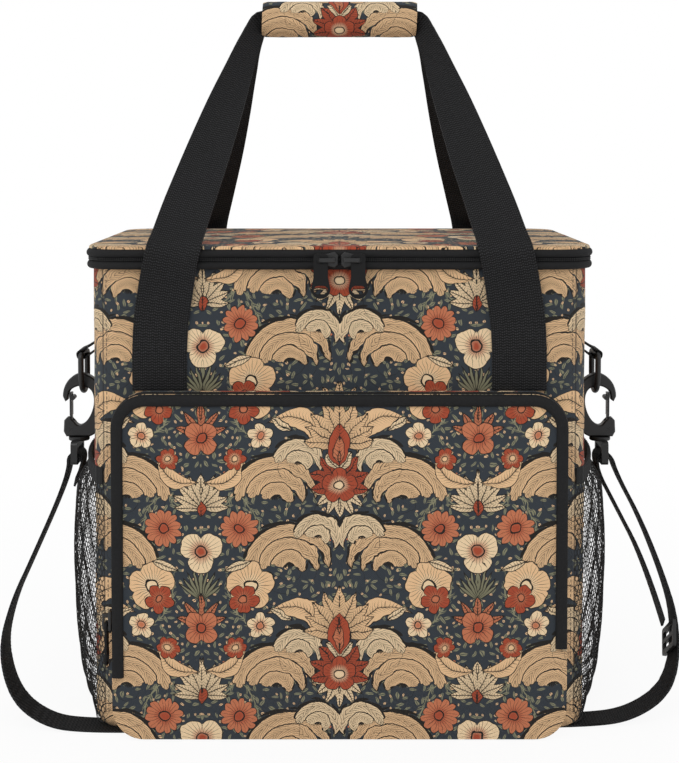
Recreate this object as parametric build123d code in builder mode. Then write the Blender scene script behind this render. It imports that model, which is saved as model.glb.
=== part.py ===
"""An insulated carrying bag: a printed soft box with a zipped lid, a zipped front pocket, two net side
pockets, a pair of webbing handles joined by a grip wrap, and a shoulder strap on two snap hooks."""

import math
import os

from build123d import *

os.makedirs("parts", exist_ok=True)

# Clearances
layer_gap = 0.2
seat_gap = 0.3
sew_gap = 0.1
pin_gap = 0.1

# Body of the bag: the box of sewn panels, up to the zip
body_w = 347.0
body_d = 230.0
body_h = 325.5
corner_r = 22.0
base_r = 10.0
seam_in = 8.5
panel_t = 2.4
base_t = 4.0
board_t = 3.0
board_inset = 10.4
foam_t = 6.0
foam_edge_r = 4.0
liner_t = 0.8
flange_t = 0.8

# Zip round the lid
rim_proud = 5.0
rim_depth = 7.3
rim_round = 2.4
tape_h = 5.6
coil_h = 2.4
coil_proud = 3.4
coil_depth = 4.0
zip_end_x = 128.0
hinge_proud = 1.6

# Lid
lid_over = 3.2
lid_t = 2.2
lid_edge_r = 1.4
lid_liner_t = 0.8
lid_air = 0.6

# Zip sliders and their pulls
slider_l = 15.0
slider_nose_w = 11.0
slider_tail_w = 8.4
slider_t = 2.0
keel_h = 1.6
keel_l = 11.0
crown_w = 3.0
crown_t = 1.4
crown_leg = 2.0
crown_h = 4.4
crown_l = 11.0
slider_x = 8.4
pull_l = 31.0
pull_t = 1.8
pull_w = 10.0
pull_ring_w = 13.4
pull_eye_w = 5.2
pull_eye_h = 4.4
pull_hole_w = 9.4
pull_hole_h = 5.8
pull_edge = 0.4

# Front pocket
pocket_side = 16.5
pocket_drop = 84.5
pocket_foot = 1.0
pocket_top_r = 24.0
pocket_foot_r = 22.0
pocket_wall = 2.2
gusset_d = 7.0
pocket_tape_d = 2.6
pocket_coil_d = 2.2
pocket_coil_proud = 0.7
pocket_panel_t = 2.2
binding_w = 8.2
binding_t = 1.6
binding_edge_r = 0.7
zip_foot_left = 46.0
zip_foot_right = 66.0
pocket_slider_z = 82.0

# Handles, of wide webbing
web_t = 2.0
web_w = 38.0
web_panel_gap = 0.4
grip_l = 117.0
grip_h = 27.4
grip_d = 21.0
grip_rise = 1.8
grip_end_r = 2.0
fold_h = 17.0
fold_t = 4.4
fold_up = 179.9
fold_y = -2.9
grip_room_d = 2 * (-fold_y + fold_t / 2 + seat_gap)
grip_room_h = fold_h + 1.6

# Net side pockets
net_t = 1.2
net_seam_turn = 51.0
net_gap = 0.7
net_foot = 4.4
elastic_h = 11.6
elastic_t = 2.2
elastic_z = 174.4
elastic_out = 15.7
net_pitch_y = 20.0
net_pitch_z = 25.0
net_cell_y = 15.4
net_cell_z = 19.4
net_columns = 9
net_rows = 6

# Side tabs and their rings
strap_w = 25.0
tab_t = 1.6
tab_drop = 33.5
tab_sewn = 16.0
tab_inner = 24.0
ring_r = 2.2
ring_out = 22.8
ring_drop = 39.6
ring_l = 28.8
ring_leg_y = 15.0
ring_corner_r = 3.0

# Snap hooks
hook_t = 9.0
hook_edge = 1.0
hook_hang = 35.4
swivel_out = 4.2
gate_out = 5.8
gate_up = 5.5
gate_t = 1.5
gate_w = 8.4
gate_foot_w = 4.6
gate_lap = 6.6
gate_neck = 10.5
gate_boss_r = 1.9
gate_pin_r = 1.1
gate_bead_r = 1.8
gate_bead_drop = 3.8
fork_gap = 0.7

# Swivel eyes
collar_r = 8.0
collar_h = 3.0
stem_r = 2.2
stem_head_r = 2.8
stem_neck_h = 3.0
stem_head_h = 2.4
eye_out = 1.5
eye_t = 5.0
eye_w = 34.0
eye_slot_w = 26.0
eye_bar_h = 4.6
eye_hang = 19.8
eye_slot_h = 8.0
eye_round = 1.4

# Shoulder strap
strap_t = 1.6
strap_facet = 14.0
channel_w = 31.0
channel_h = 2.6
channel_left_y = -106.0
channel_right_y = -95.0
glide_l = 20.0
glide_w = 33.0
glide_t = 2.6
glide_slot = 4.6
glide_bar = 3.0
glide_at = (242.0, -63.4, 50.5)
glide_down = (-0.094, -0.531, -0.842)

# Places that follow from the sizes
front_y = -body_d / 2
side_x = body_w / 2
seam_x = side_x - seam_in
pocket_w = body_w - 2 * pocket_side
pocket_top = body_h - pocket_drop
fold_z = body_h + fold_up
grip_z = fold_z + grip_rise
tab_top_z = body_h - tab_drop
ring_x = side_x + ring_out
ring_bar_z = tab_top_z - ring_drop
ring_low_z = ring_bar_z - ring_l
hook_base_z = ring_low_z - hook_hang
swivel_x = ring_x + swivel_out
gate_x = swivel_x + gate_out
gate_z = hook_base_z + gate_up
eye_x = swivel_x + eye_out
eye_low_z = hook_base_z - eye_hang


def save(piece, name):
    """Label a finished piece and write it."""
    piece.label = name
    export_step(piece, f"parts/{name}.step")


def save_pair(piece, name):
    """Write a piece of the right side, and its mirror image for the left side."""
    save(piece, f"right_{name}")
    save(piece.mirror(Plane.YZ), f"left_{name}")


def bag_form(inset, foot, top, foot_r):
    """The bag's rounded box, drawn in by inset, from foot to top, with its lower edge rounded."""
    with BuildPart() as form:
        with BuildSketch(Plane.XY.offset(foot)):
            RectangleRounded(body_w - 2 * inset, body_d - 2 * inset, corner_r - inset)
        extrude(amount=top - foot)
        if foot_r > 0:
            fillet(form.faces().sort_by(Axis.Z)[0].edges(), foot_r)
    return form.part


def slab(x0, x1, y0, y1, z0, z1):
    """A box between two corners."""
    with BuildPart() as block:
        with Locations(((x0 + x1) / 2, (y0 + y1) / 2, (z0 + z1) / 2)):
            Box(x1 - x0, y1 - y0, z1 - z0)
    return block.part


# The strap lies pressed into the soft base, from side to side
channel_turn = math.degrees(math.atan2(channel_right_y - channel_left_y, body_w))
with BuildPart() as strap_channel:
    with Locations(Location((0, (channel_left_y + channel_right_y) / 2, 0), (0, 0, channel_turn))):
        Box(body_w + 60, channel_w, 2 * channel_h)
channel = strap_channel.part

# Sewn panels of the shell
panel_foot = base_r
skin = bag_form(0, 0, body_h, base_r) - bag_form(panel_t, base_t, body_h + 1, base_r - panel_t)
seam = layer_gap / 2
far = body_w + body_d + body_h

with BuildPart() as front_panel:
    add(skin)
    add(slab(-seam_x + seam, seam_x - seam, -far, 0, panel_foot + seam, far), mode=Mode.INTERSECT)
save(front_panel.part, "front_panel")

with BuildPart() as rear_panel:
    add(skin)
    add(slab(-seam_x + seam, seam_x - seam, 0, far, panel_foot + seam, far), mode=Mode.INTERSECT)
save(rear_panel.part, "rear_panel")

with BuildPart() as side_panel:
    add(skin)
    add(slab(seam_x + seam, far, -far, far, panel_foot + seam, far), mode=Mode.INTERSECT)
save_pair(side_panel.part, "side_panel")

with BuildPart() as base_panel:
    add(skin)
    add(slab(-far, far, -far, far, -1, panel_foot - seam), mode=Mode.INTERSECT)
    add(channel, mode=Mode.SUBTRACT)
save(base_panel.part, "base_panel")

# Stiffener, foam and liner inside the shell
board_z = base_t + layer_gap
with BuildPart() as base_board:
    with BuildSketch(Plane.XY.offset(board_z)):
        RectangleRounded(body_w - 2 * board_inset, body_d - 2 * board_inset, corner_r - board_inset)
    extrude(amount=board_t)
save(base_board.part, "base_board")

foam_in = panel_t + layer_gap
foam_z = board_z + board_t + layer_gap
foam_top = body_h - seat_gap
with BuildPart() as foam_walls:
    add(bag_form(foam_in, foam_z, foam_top, foam_edge_r))
    add(bag_form(foam_in + foam_t, foam_z + foam_t, foam_top + 1, 0), mode=Mode.SUBTRACT)
save(foam_walls.part, "foam_walls")

liner_in = foam_in + foam_t + layer_gap
liner_z = foam_z + foam_t + layer_gap
flange_z = foam_top + layer_gap
with BuildPart() as inner_liner:
    add(bag_form(liner_in, liner_z, flange_z + flange_t, 0))
    with BuildSketch(Plane.XY.offset(flange_z)):
        RectangleRounded(body_w - 2 * foam_in, body_d - 2 * foam_in, corner_r - foam_in)
    extrude(amount=flange_t)
    add(bag_form(liner_in + liner_t, liner_z + liner_t, far, 0), mode=Mode.SUBTRACT)
save(inner_liner.part, "inner_liner")


def rim(foot, height, proud, depth, round_r, keep_rear):
    """A band of the given height round the bag's outline, open across the rear unless it is kept."""
    with BuildPart() as band:
        with BuildSketch(Plane.XY.offset(foot)):
            RectangleRounded(body_w + 2 * proud, body_d + 2 * proud, corner_r + proud)
            inner = proud - depth
            RectangleRounded(
                body_w + 2 * inner, body_d + 2 * inner, corner_r + inner, mode=Mode.SUBTRACT
            )
        extrude(amount=height)
        if round_r > 0:
            ends = band.faces().filter_by(Axis.Z)
            fillet([edge for face in ends for edge in face.outer_wire().edges()], round_r)
        reach = zip_end_x - seam if keep_rear else zip_end_x + seam
        rear = slab(-reach, reach, 0, far, -1, far)
        add(rear, mode=Mode.INTERSECT if keep_rear else Mode.SUBTRACT)
    return band.part


# Zip: a lower and an upper tape, each rolled over its sewn edge, with the coil in the notch between
lower_tape_z = flange_z + flange_t - liner_t + seat_gap
coil_z = lower_tape_z + tape_h + sew_gap
upper_tape_z = coil_z + coil_h + sew_gap
lid_z = upper_tape_z + tape_h + sew_gap
save(rim(lower_tape_z, tape_h, rim_proud, rim_depth, rim_round, False), "lower_zip_tape")
save(rim(upper_tape_z, tape_h, rim_proud, rim_depth, rim_round, False), "upper_zip_tape")
save(rim(coil_z, coil_h, coil_proud, coil_depth, 0.6, False), "main_zip_coil")
hinge_h = lid_z - sew_gap - lower_tape_z
save(rim(lower_tape_z, hinge_h, hinge_proud, hinge_proud + panel_t, 0, True), "lid_hinge")

# Lid: printed cover, foam and liner
with BuildPart() as lid_cover:
    with BuildSketch(Plane.XY.offset(lid_z)):
        RectangleRounded(body_w + 2 * lid_over, body_d + 2 * lid_over, corner_r + lid_over)
    extrude(amount=lid_t)
    fillet(lid_cover.faces().sort_by(Axis.Z)[-1].edges(), lid_edge_r)
save(lid_cover.part, "lid_cover")

lid_in = rim_depth - rim_proud + layer_gap + seam
lid_liner_z = flange_z + flange_t + lid_air
with BuildPart() as lid_liner:
    with BuildSketch(Plane.XY.offset(lid_liner_z)):
        RectangleRounded(body_w - 2 * lid_in, body_d - 2 * lid_in, corner_r - lid_in)
    extrude(amount=lid_liner_t)
save(lid_liner.part, "lid_liner")

lid_foam_z = lid_liner_z + lid_liner_t + sew_gap
with BuildPart() as lid_foam:
    with BuildSketch(Plane.XY.offset(lid_foam_z)):
        RectangleRounded(body_w - 2 * lid_in, body_d - 2 * lid_in, corner_r - lid_in)
    extrude(amount=lid_z - sew_gap - lid_foam_z)
save(lid_foam.part, "lid_foam")


def zip_slider(keel_y):
    """A slider facing -Y from the origin, nose towards +X, with a keel that reaches back to keel_y."""
    tail, nose = -slider_l / 2, slider_l / 2
    crown_base = -slider_t
    with BuildPart() as slider:
        with BuildSketch(Plane.XZ):
            with BuildLine():
                Polyline(
                    (tail, slider_tail_w / 2),
                    (0, slider_tail_w / 2),
                    (nose - 2.5, slider_nose_w / 2),
                    (nose, slider_nose_w / 2 - 2.5),
                    (nose, -slider_nose_w / 2 + 2.5),
                    (nose - 2.5, -slider_nose_w / 2),
                    (0, -slider_tail_w / 2),
                    (tail, -slider_tail_w / 2),
                    close=True,
                )
            make_face()
        extrude(amount=slider_t)
        chamfer(slider.faces().sort_by(Axis.Y)[0].edges(), 0.5)
        add(slab(-keel_l / 2, keel_l / 2, -1, keel_y, -keel_h / 2, keel_h / 2))
        crown_y = crown_base - crown_h
        add(slab(-crown_l / 2, crown_l / 2, crown_y, crown_base, -crown_w / 2, crown_w / 2))
        chamfer(slider.faces().sort_by(Axis.Y)[0].edges(), 0.5)
        half = crown_l / 2 - crown_leg
        add(
            slab(-half, half, crown_y + crown_t, crown_base, -crown_w, crown_w),
            mode=Mode.SUBTRACT,
        )
    return slider.part


def zip_pull():
    """A pull that hangs along -Z from the origin, where the crown's leg goes through its eye."""
    top = pull_eye_h / 2 + 2.2
    ring_z = top - pull_l + pull_ring_w / 2
    with BuildPart() as pull:
        with BuildSketch(Plane.XZ.offset(-pull_t / 2)) as outline:
            with BuildLine():
                low_left, low_right = (-pull_ring_w / 2, ring_z), (pull_ring_w / 2, ring_z)
                waist = ring_z + 8.0
                ThreePointArc(low_left, (0, ring_z - pull_ring_w / 2), low_right)
                Polyline(low_right, (pull_w / 2, waist), (pull_w / 2, top), (-pull_w / 2, top),
                         (-pull_w / 2, waist), low_left)
            make_face()
            fillet(outline.vertices().sort_by(Axis.Y)[-2:], 2.4)
            RectangleRounded(pull_eye_w, pull_eye_h, 1.6, mode=Mode.SUBTRACT)
            with Locations((0, ring_z - 0.6)):
                SlotOverall(pull_hole_w, pull_hole_h, mode=Mode.SUBTRACT)
        extrude(amount=pull_t)
        outer = pull.faces().filter_by(Axis.Y)
        fillet([edge for face in outer for edge in face.outer_wire().edges()], pull_edge)
    return pull.part


# Two sliders meet nose to nose in the middle of the front, each with a pull on the tail leg of its crown
slider_y = front_y - rim_proud - seat_gap
slider_z = coil_z + coil_h / 2
pull_y = slider_y - slider_t - (crown_h - crown_t) / 2
leg_x = slider_x + crown_l / 2 - crown_leg / 2
left_slider = Location((-slider_x, slider_y, slider_z)) * zip_slider(rim_proud - coil_proud)
save_pair(left_slider.mirror(Plane.YZ), "main_slider")
save_pair(Location((leg_x, pull_y, slider_z)) * zip_pull(), "main_pull")

# Front pocket: a bellows of printed fabric, a zip round its front edge and a bound front panel
pocket_back_y = front_y - seat_gap
tape_back_y = pocket_back_y - gusset_d
coil_back_y = tape_back_y - pocket_tape_d - sew_gap
tape_front_y = coil_back_y - pocket_coil_d - sew_gap
panel_back_y = tape_front_y - pocket_tape_d - sew_gap
panel_front_y = panel_back_y - pocket_panel_t


def pocket_form(inset, y_back, y_front, grow=0.0):
    """The pocket's outline as a block between two depths, drawn in by inset."""
    half, low, high = pocket_w / 2 - inset + grow, pocket_foot + inset - grow, pocket_top - inset + grow
    top_r, foot_r = pocket_top_r - inset + grow, pocket_foot_r - inset + grow
    with BuildPart() as form:
        with BuildSketch(Plane.XZ.offset(-y_back)) as outline:
            with Locations((0, (low + high) / 2)):
                Rectangle(2 * half, high - low)
            corners = outline.vertices().group_by(Axis.Y)
            fillet(corners[-1], top_r)
            fillet(outline.vertices().sort_by(Axis.Y)[:2], foot_r)
        extrude(amount=y_back - y_front)
    return form.part


def zip_zone(y_back, y_front):
    """The run of the pocket's zip: over the top and down both sides to where it stops."""
    with BuildPart() as zone:
        add(slab(-far, 0, y_front, y_back, zip_foot_left, far))
        add(slab(0, far, y_front, y_back, zip_foot_right, far))
    return zone.part


def pocket_band(y_back, y_front, grow=0.0):
    """A band of the pocket's wall along the zip."""
    with BuildPart() as band:
        add(pocket_form(0, y_back, y_front, grow))
        add(pocket_form(pocket_wall, y_back + 1, y_front - 1), mode=Mode.SUBTRACT)
        add(zip_zone(y_back + 1, y_front - 1), mode=Mode.INTERSECT)
    return band.part


zip_back_y = tape_back_y + sew_gap
with BuildPart() as pocket_gusset:
    add(pocket_form(0, pocket_back_y, panel_back_y + sew_gap))
    add(pocket_form(pocket_wall, pocket_back_y + 1, panel_back_y - 1), mode=Mode.SUBTRACT)
    add(slab(-far, 0, -far, zip_back_y, zip_foot_left - sew_gap, far), mode=Mode.SUBTRACT)
    add(slab(0, far, -far, zip_back_y, zip_foot_right - sew_gap, far), mode=Mode.SUBTRACT)
    add(channel, mode=Mode.SUBTRACT)
save(pocket_gusset.part, "pocket_gusset")

tape_rear = pocket_band(tape_back_y, tape_back_y - pocket_tape_d)
save(tape_rear, "pocket_tape_rear")
save(pocket_band(coil_back_y, coil_back_y - pocket_coil_d, pocket_coil_proud), "pocket_zip_coil")
save(pocket_band(tape_front_y, tape_front_y - pocket_tape_d), "pocket_tape_front")

with BuildPart() as pocket_panel:
    add(pocket_form(0, panel_back_y, panel_front_y))
save(pocket_panel.part, "pocket_panel")

binding_back_y = panel_front_y - sew_gap
with BuildPart() as pocket_binding:
    add(pocket_form(0, binding_back_y, binding_back_y - binding_t))
    fillet(pocket_binding.faces().sort_by(Axis.Y)[0].edges(), binding_edge_r)
    add(pocket_form(binding_w, binding_back_y + 1, binding_back_y - binding_t - 1), mode=Mode.SUBTRACT)
    add(zip_zone(binding_back_y + 1, binding_back_y - binding_t - 1), mode=Mode.INTERSECT)
save(pocket_binding.part, "pocket_binding")

# Pocket slider on the left side, nose down, with its pull hanging from the crown's lower leg
pocket_slider_x = -pocket_w / 2 - pocket_coil_proud - seat_gap
pocket_slider_y = coil_back_y - pocket_coil_d / 2
facing_left = Location((0, 0, 0), (0, 0, -90)) * Location((0, 0, 0), (0, 90, 0))
pocket_slider_part = Location((pocket_slider_x, pocket_slider_y, pocket_slider_z)) * (
    facing_left * zip_slider(0)
)
save(pocket_slider_part, "pocket_slider")
pocket_leg_z = pocket_slider_z - crown_l / 2 + crown_leg / 2
pocket_pull_x = pocket_slider_x - slider_t - (crown_h - crown_t) / 2
pull_left = Location((0, 0, 0), (0, 0, -90)) * zip_pull()
save(Location((pocket_pull_x, pocket_slider_y, pocket_leg_z)) * pull_left, "pocket_pull")

# Handles: each is one webbing from the front or rear panel up through the grip wrap and down again.
# A station is its middle (x, y, z), its width, its thickness and how far it has rolled on edge.
web_y = front_y - web_panel_gap - web_t / 2
stations = [
    (-124.8, web_y, body_h - 57.5, web_w, web_t, 0.0),
    (-123.6, web_y - 0.4, body_h - 35.5, web_w, web_t, 0.0),
    (-120.2, web_y - 2.6, body_h - 13.5, web_w, web_t, 0.0),
    (-116.2, web_y - 6.6, body_h + 7.5, web_w - 1, web_t, 0.0),
    (-113.8, web_y - 5.0, body_h + 17.5, web_w - 1, web_t, 0.0),
    (-110.8, web_y + 4.8, body_h + 28.5, web_w - 2, web_t, 0.02),
    (-104.8, web_y + 18.4, body_h + 48.5, web_w - 3, web_t, 0.05),
    (-94.0, web_y + 43.4, fold_z - 97.4, web_w - 6, web_t, 0.12),
    (-83.6, fold_y - 45.1, fold_z - 64.4, web_w - 11, web_t + 0.6, 0.25),
    (-74.0, fold_y - 23.1, fold_z - 35.4, web_w - 17, web_t + 1.4, 0.45),
    (-67.0, fold_y - 8.1, fold_z - 15.4, web_w - 20, web_t + 1.6, 0.75),
    (-60.2, fold_y - 0.1, fold_z - 0.4, fold_h, fold_t - 0.4, 1.0),
    (-52.0, fold_y, fold_z, fold_h, fold_t, 1.0),
    (0.0, fold_y, fold_z, fold_h, fold_t, 1.0),
]


def webbing_handle(web_foot):
    """The front handle's webbing, from web_foot up on each side and through the grip."""
    middles = [Vector(*s[:3]) for s in stations]
    with BuildPart() as handle:
        for i, (x, y, z, width, thick, roll) in enumerate(stations):
            ahead = middles[min(i + 1, len(middles) - 1)]
            behind = middles[max(i - 1, 0)]
            along = Vector(1, 0, 0) if i >= len(stations) - 3 else (ahead - behind).normalized()
            if i == 0:
                along = Vector(0, 0, 1)
            across = Vector(1 - roll, 0, -roll)
            across = (across - along * across.dot(along)).normalized()
            with BuildSketch(Plane(origin=middles[i], x_dir=across, z_dir=along)):
                Rectangle(width, thick)
        loft(ruled=True)
        x0, z0 = stations[0][0], stations[0][2]
        add(slab(x0 - web_w / 2, x0 + web_w / 2, web_y - web_t / 2, web_y + web_t / 2, web_foot, z0))
        mirror(about=Plane.YZ)
    return handle.part


front_web_foot = pocket_top + seat_gap
save(webbing_handle(front_web_foot), "front_handle")
save(webbing_handle(panel_foot + seat_gap).mirror(Plane.XZ), "rear_handle")

with BuildPart() as grip_wrap:
    with BuildSketch(Plane.YZ.offset(-grip_l / 2)):
        with Locations((0, grip_z)):
            Ellipse(grip_d / 2, grip_h / 2)
        with Locations((0, fold_z)):
            RectangleRounded(grip_room_d, grip_room_h, 1.0, mode=Mode.SUBTRACT)
    extrude(amount=grip_l)
    rims = grip_wrap.faces().filter_by(Axis.X)
    fillet([edge for face in rims for edge in face.outer_wire().edges()], grip_end_r)
save(grip_wrap.part, "grip_wrap")


# Net side pockets: a swelling net wall from the front seam to the rear seam, and an elastic binding
def side_arc(z, middle_x, thick):
    """A thin wall on a level: round the bag's corner from each seam, then one arc out to middle_x."""
    corner_x, corner_y = side_x - corner_r, body_d / 2 - corner_r
    near_r = corner_r + net_gap
    turn = 2 * math.atan((middle_x - thick - side_x - net_gap) / corner_y)
    seam_turn = math.radians(net_seam_turn)

    def corner(radius, angle, side):
        return (corner_x + radius * math.cos(angle), side * (corner_y + radius * math.sin(angle)))

    with BuildSketch(Plane.XY.offset(z)) as level:
        with BuildLine():
            for radius, middle in ((near_r, middle_x - thick), (near_r + thick, middle_x)):
                for side in (-1, 1):
                    halfway = (turn + seam_turn) / 2
                    ThreePointArc(*[corner(radius, a, side) for a in (seam_turn, halfway, turn)])
                ThreePointArc(corner(radius, turn, -1), (middle, 0), corner(radius, turn, 1))
            for side in (-1, 1):
                Line(corner(near_r, seam_turn, side), corner(near_r + thick, seam_turn, side))
        make_face()
    return level.sketch


net_top = elastic_z - seat_gap
net_levels = [
    (net_foot, 7.0),
    (net_foot + 11.6, 19.5),
    (net_foot + 41.6, 25.5),
    (net_foot + 99.6, 28.3),
    (net_top - 18.1, 25.5),
    (net_top, 16.5),
]
with BuildPart() as net_pocket:
    loft([side_arc(level_z, side_x + swell, net_t) for level_z, swell in net_levels])
    mid_z = (net_foot + elastic_z) / 2
    with BuildSketch(Plane.YZ.offset(side_x + 2)):
        half_y, half_z = net_cell_y / 2, net_cell_z / 2
        for columns, rows in ((net_columns, net_rows), (net_columns - 1, net_rows - 1)):
            with Locations((0, mid_z)):
                with GridLocations(net_pitch_y, net_pitch_z, columns, rows):
                    Polygon((half_y, 0), (0, half_z), (-half_y, 0), (0, -half_z))
    extrude(amount=40, mode=Mode.SUBTRACT)
save_pair(net_pocket.part, "net_pocket")

with BuildPart() as elastic:
    extrude(side_arc(elastic_z, side_x + elastic_out, elastic_t), amount=elastic_h, dir=(0, 0, 1))
save_pair(elastic.part, "pocket_elastic")

# Side tabs: webbing folded round the ring's bar, its two ends sewn flat on the side panel
tab_wall_x = side_x + seat_gap + tab_t / 2
bar_wrap = ring_r + seat_gap + tab_t / 2
with BuildPart() as side_tab:
    with BuildSketch(Plane.XZ.offset(-strap_w / 2 + 0.5)) as tab_profile:
        with BuildLine() as tab_line:
            sewn_top = (tab_wall_x + tab_t + layer_gap, tab_top_z)
            sewn_low = (tab_wall_x + tab_t + layer_gap, tab_top_z - tab_sewn)
            over = (ring_x + 0.70 * bar_wrap, ring_bar_z + 0.714 * bar_wrap)
            round_out = (ring_x + 0.714 * bar_wrap, ring_bar_z - 0.70 * bar_wrap)
            under = (ring_x - 0.70 * bar_wrap, ring_bar_z - 0.714 * bar_wrap)
            back_low = (tab_wall_x, tab_top_z - tab_inner)
            back_top = (tab_wall_x, tab_top_z)
            Line(sewn_top, sewn_low)
            Spline(sewn_low, over, tangents=((0, -1), (0.714, -0.70)))
            ThreePointArc(over, round_out, under)
            Spline(under, back_low, tangents=((-0.714, 0.70), (0, 1)))
            Line(back_low, back_top)
        trace(tab_line.edges(), line_width=tab_t)
    extrude(amount=strap_w - 1.0)
save_pair(side_tab.part, "side_tab")

# Rings: a moulded D with its straight bar in the tab
with BuildPart() as d_ring:
    with BuildLine(Plane.YZ.offset(ring_x)) as ring_path:
        bend_z = ring_low_z + ring_leg_y
        leg_top = ring_bar_z - ring_corner_r
        bar_y = ring_leg_y - ring_corner_r
        ThreePointArc((-ring_leg_y, bend_z), (0, ring_low_z), (ring_leg_y, bend_z))
        Line((ring_leg_y, bend_z), (ring_leg_y, leg_top))
        RadiusArc((ring_leg_y, leg_top), (bar_y, ring_bar_z), -ring_corner_r)
        Line((bar_y, ring_bar_z), (-bar_y, ring_bar_z))
        RadiusArc((-bar_y, ring_bar_z), (-ring_leg_y, leg_top), -ring_corner_r)
        Line((-ring_leg_y, leg_top), (-ring_leg_y, bend_z))
    with BuildSketch(Plane(origin=(ring_x, 0, ring_low_z), z_dir=(0, 1, 0))):
        Circle(ring_r)
    sweep(path=ring_path.line)
save_pair(d_ring.part, "d_ring")

# Snap hooks: a flat moulded hook whose base is forked for the gate and bored for the swivel. Its
# outline is drawn from the foot of the swivel's stem.
hook_back = [
    (-8.5, 0.0),
    (-13.5, 3.0),
    (-18.2, 12.8),
    (-19.5, 24.8),
    (-17.1, 37.8),
    (-9.9, 46.2),
    (-2.1, 48.6),
    (5.5, 45.4),
    (10.4, 38.4),
    (11.7, 30.8),
]
hook_nose = [(11.7, 30.8), (9.9, 27.0), (8.1, 28.2), (6.9, 34.4)]
hook_throat = [
    (6.9, 34.4),
    (1.9, 38.2),
    (-4.2, 38.9),
    (-9.7, 35.8),
    (-12.0, 28.8),
    (-10.5, 19.4),
    (-6.1, 11.8),
    (-1.3, 8.6),
    (2.9, 11.4),
]
hook_base = [(2.9, 11.4), (5.9, 14.4), (9.1, 14.4), (10.9, 12.4), (11.3, 3.8), (9.3, 0.0), (-8.5, 0.0)]
gate_top = hook_base_z + hook_nose[1][1] + gate_lap
gate_wide_z = gate_z + gate_neck
gate_bead_z = gate_top - gate_bead_drop
hook_side = Plane(origin=(swivel_x, hook_t / 2, hook_base_z), x_dir=(1, 0, 0), z_dir=(0, -1, 0))
with BuildPart() as snap_hook:
    with BuildSketch(hook_side):
        with BuildLine():
            Spline(*hook_back)
            Polyline(*hook_nose)
            Spline(*hook_throat)
            Polyline(*hook_base)
        make_face()
    extrude(amount=hook_t)
    flats = snap_hook.faces().filter_by(Axis.Y)
    chamfer([edge for face in flats for edge in face.edges()], hook_edge)
    fork = gate_foot_w / 2 + seat_gap
    low_x = gate_x - gate_boss_r - fork_gap
    add(slab(low_x, gate_x + 2.3, -fork, fork, gate_z - 3.1, gate_z + 11.3), mode=Mode.SUBTRACT)
    with Locations(Location((gate_x, 0, gate_z), (90, 0, 0))):
        Cylinder(gate_pin_r + pin_gap, 2 * hook_t, mode=Mode.SUBTRACT)
    neck_top = hook_base_z + stem_neck_h
    with Locations((swivel_x, 0, hook_base_z)):
        Cylinder(
            stem_r + pin_gap,
            stem_neck_h,
            align=(Align.CENTER, Align.CENTER, Align.MIN),
            mode=Mode.SUBTRACT,
        )
    with Locations((swivel_x, 0, neck_top)):
        Cylinder(
            stem_head_r + pin_gap,
            stem_head_h + 2 * pin_gap,
            align=(Align.CENTER, Align.CENTER, Align.MIN),
            mode=Mode.SUBTRACT,
        )
save_pair(snap_hook.part, "snap_hook")

# Gate: a sprung tongue on a pin in the fork, with a thumb bead inside the nose
with BuildPart() as hook_gate:
    face_x = gate_x - gate_t / 2
    add(slab(face_x, face_x + gate_t, -gate_foot_w / 2, gate_foot_w / 2, gate_z, gate_wide_z + 1))
    add(slab(face_x, face_x + gate_t, -gate_w / 2, gate_w / 2, gate_wide_z, gate_top))
    with Locations(Location((gate_x, 0, gate_z), (90, 0, 0))):
        Cylinder(gate_boss_r, gate_foot_w)
        Cylinder(gate_pin_r, hook_t)
    with Locations(Location((face_x - gate_bead_r / 2, 0, gate_bead_z), (90, 0, 0))):
        Cylinder(gate_bead_r, gate_w)
save_pair(hook_gate.part, "hook_gate")

# Swivel eye: a headed stem in the hook's base, a collar and the frame that the strap goes through
with BuildPart() as swivel_eye:
    collar_top = hook_base_z - layer_gap
    with Locations((swivel_x, 0, collar_top)):
        Cylinder(collar_r, collar_h, align=(Align.CENTER, Align.CENTER, Align.MAX))
    chamfer(swivel_eye.edges().filter_by(GeomType.CIRCLE), 0.6)
    with Locations((swivel_x, 0, collar_top)):
        head_z = stem_neck_h + layer_gap + pin_gap
        Cylinder(stem_r, head_z, align=(Align.CENTER, Align.CENTER, Align.MIN))
    with Locations((swivel_x, 0, collar_top + head_z)):
        Cylinder(stem_head_r, stem_head_h, align=(Align.CENTER, Align.CENTER, Align.MIN))
    frame_top = collar_top - collar_h + 1.0
    with BuildSketch(Plane.YZ.offset(eye_x - eye_t / 2)):
        with Locations((0, (eye_low_z + frame_top) / 2)):
            RectangleRounded(eye_w, frame_top - eye_low_z, 3.0)
        with Locations((0, eye_low_z + eye_bar_h + eye_slot_h / 2)):
            RectangleRounded(eye_slot_w, eye_slot_h, 1.2, mode=Mode.SUBTRACT)
    extrude(amount=eye_t)
save_pair(swivel_eye.part, "swivel_eye")

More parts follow.
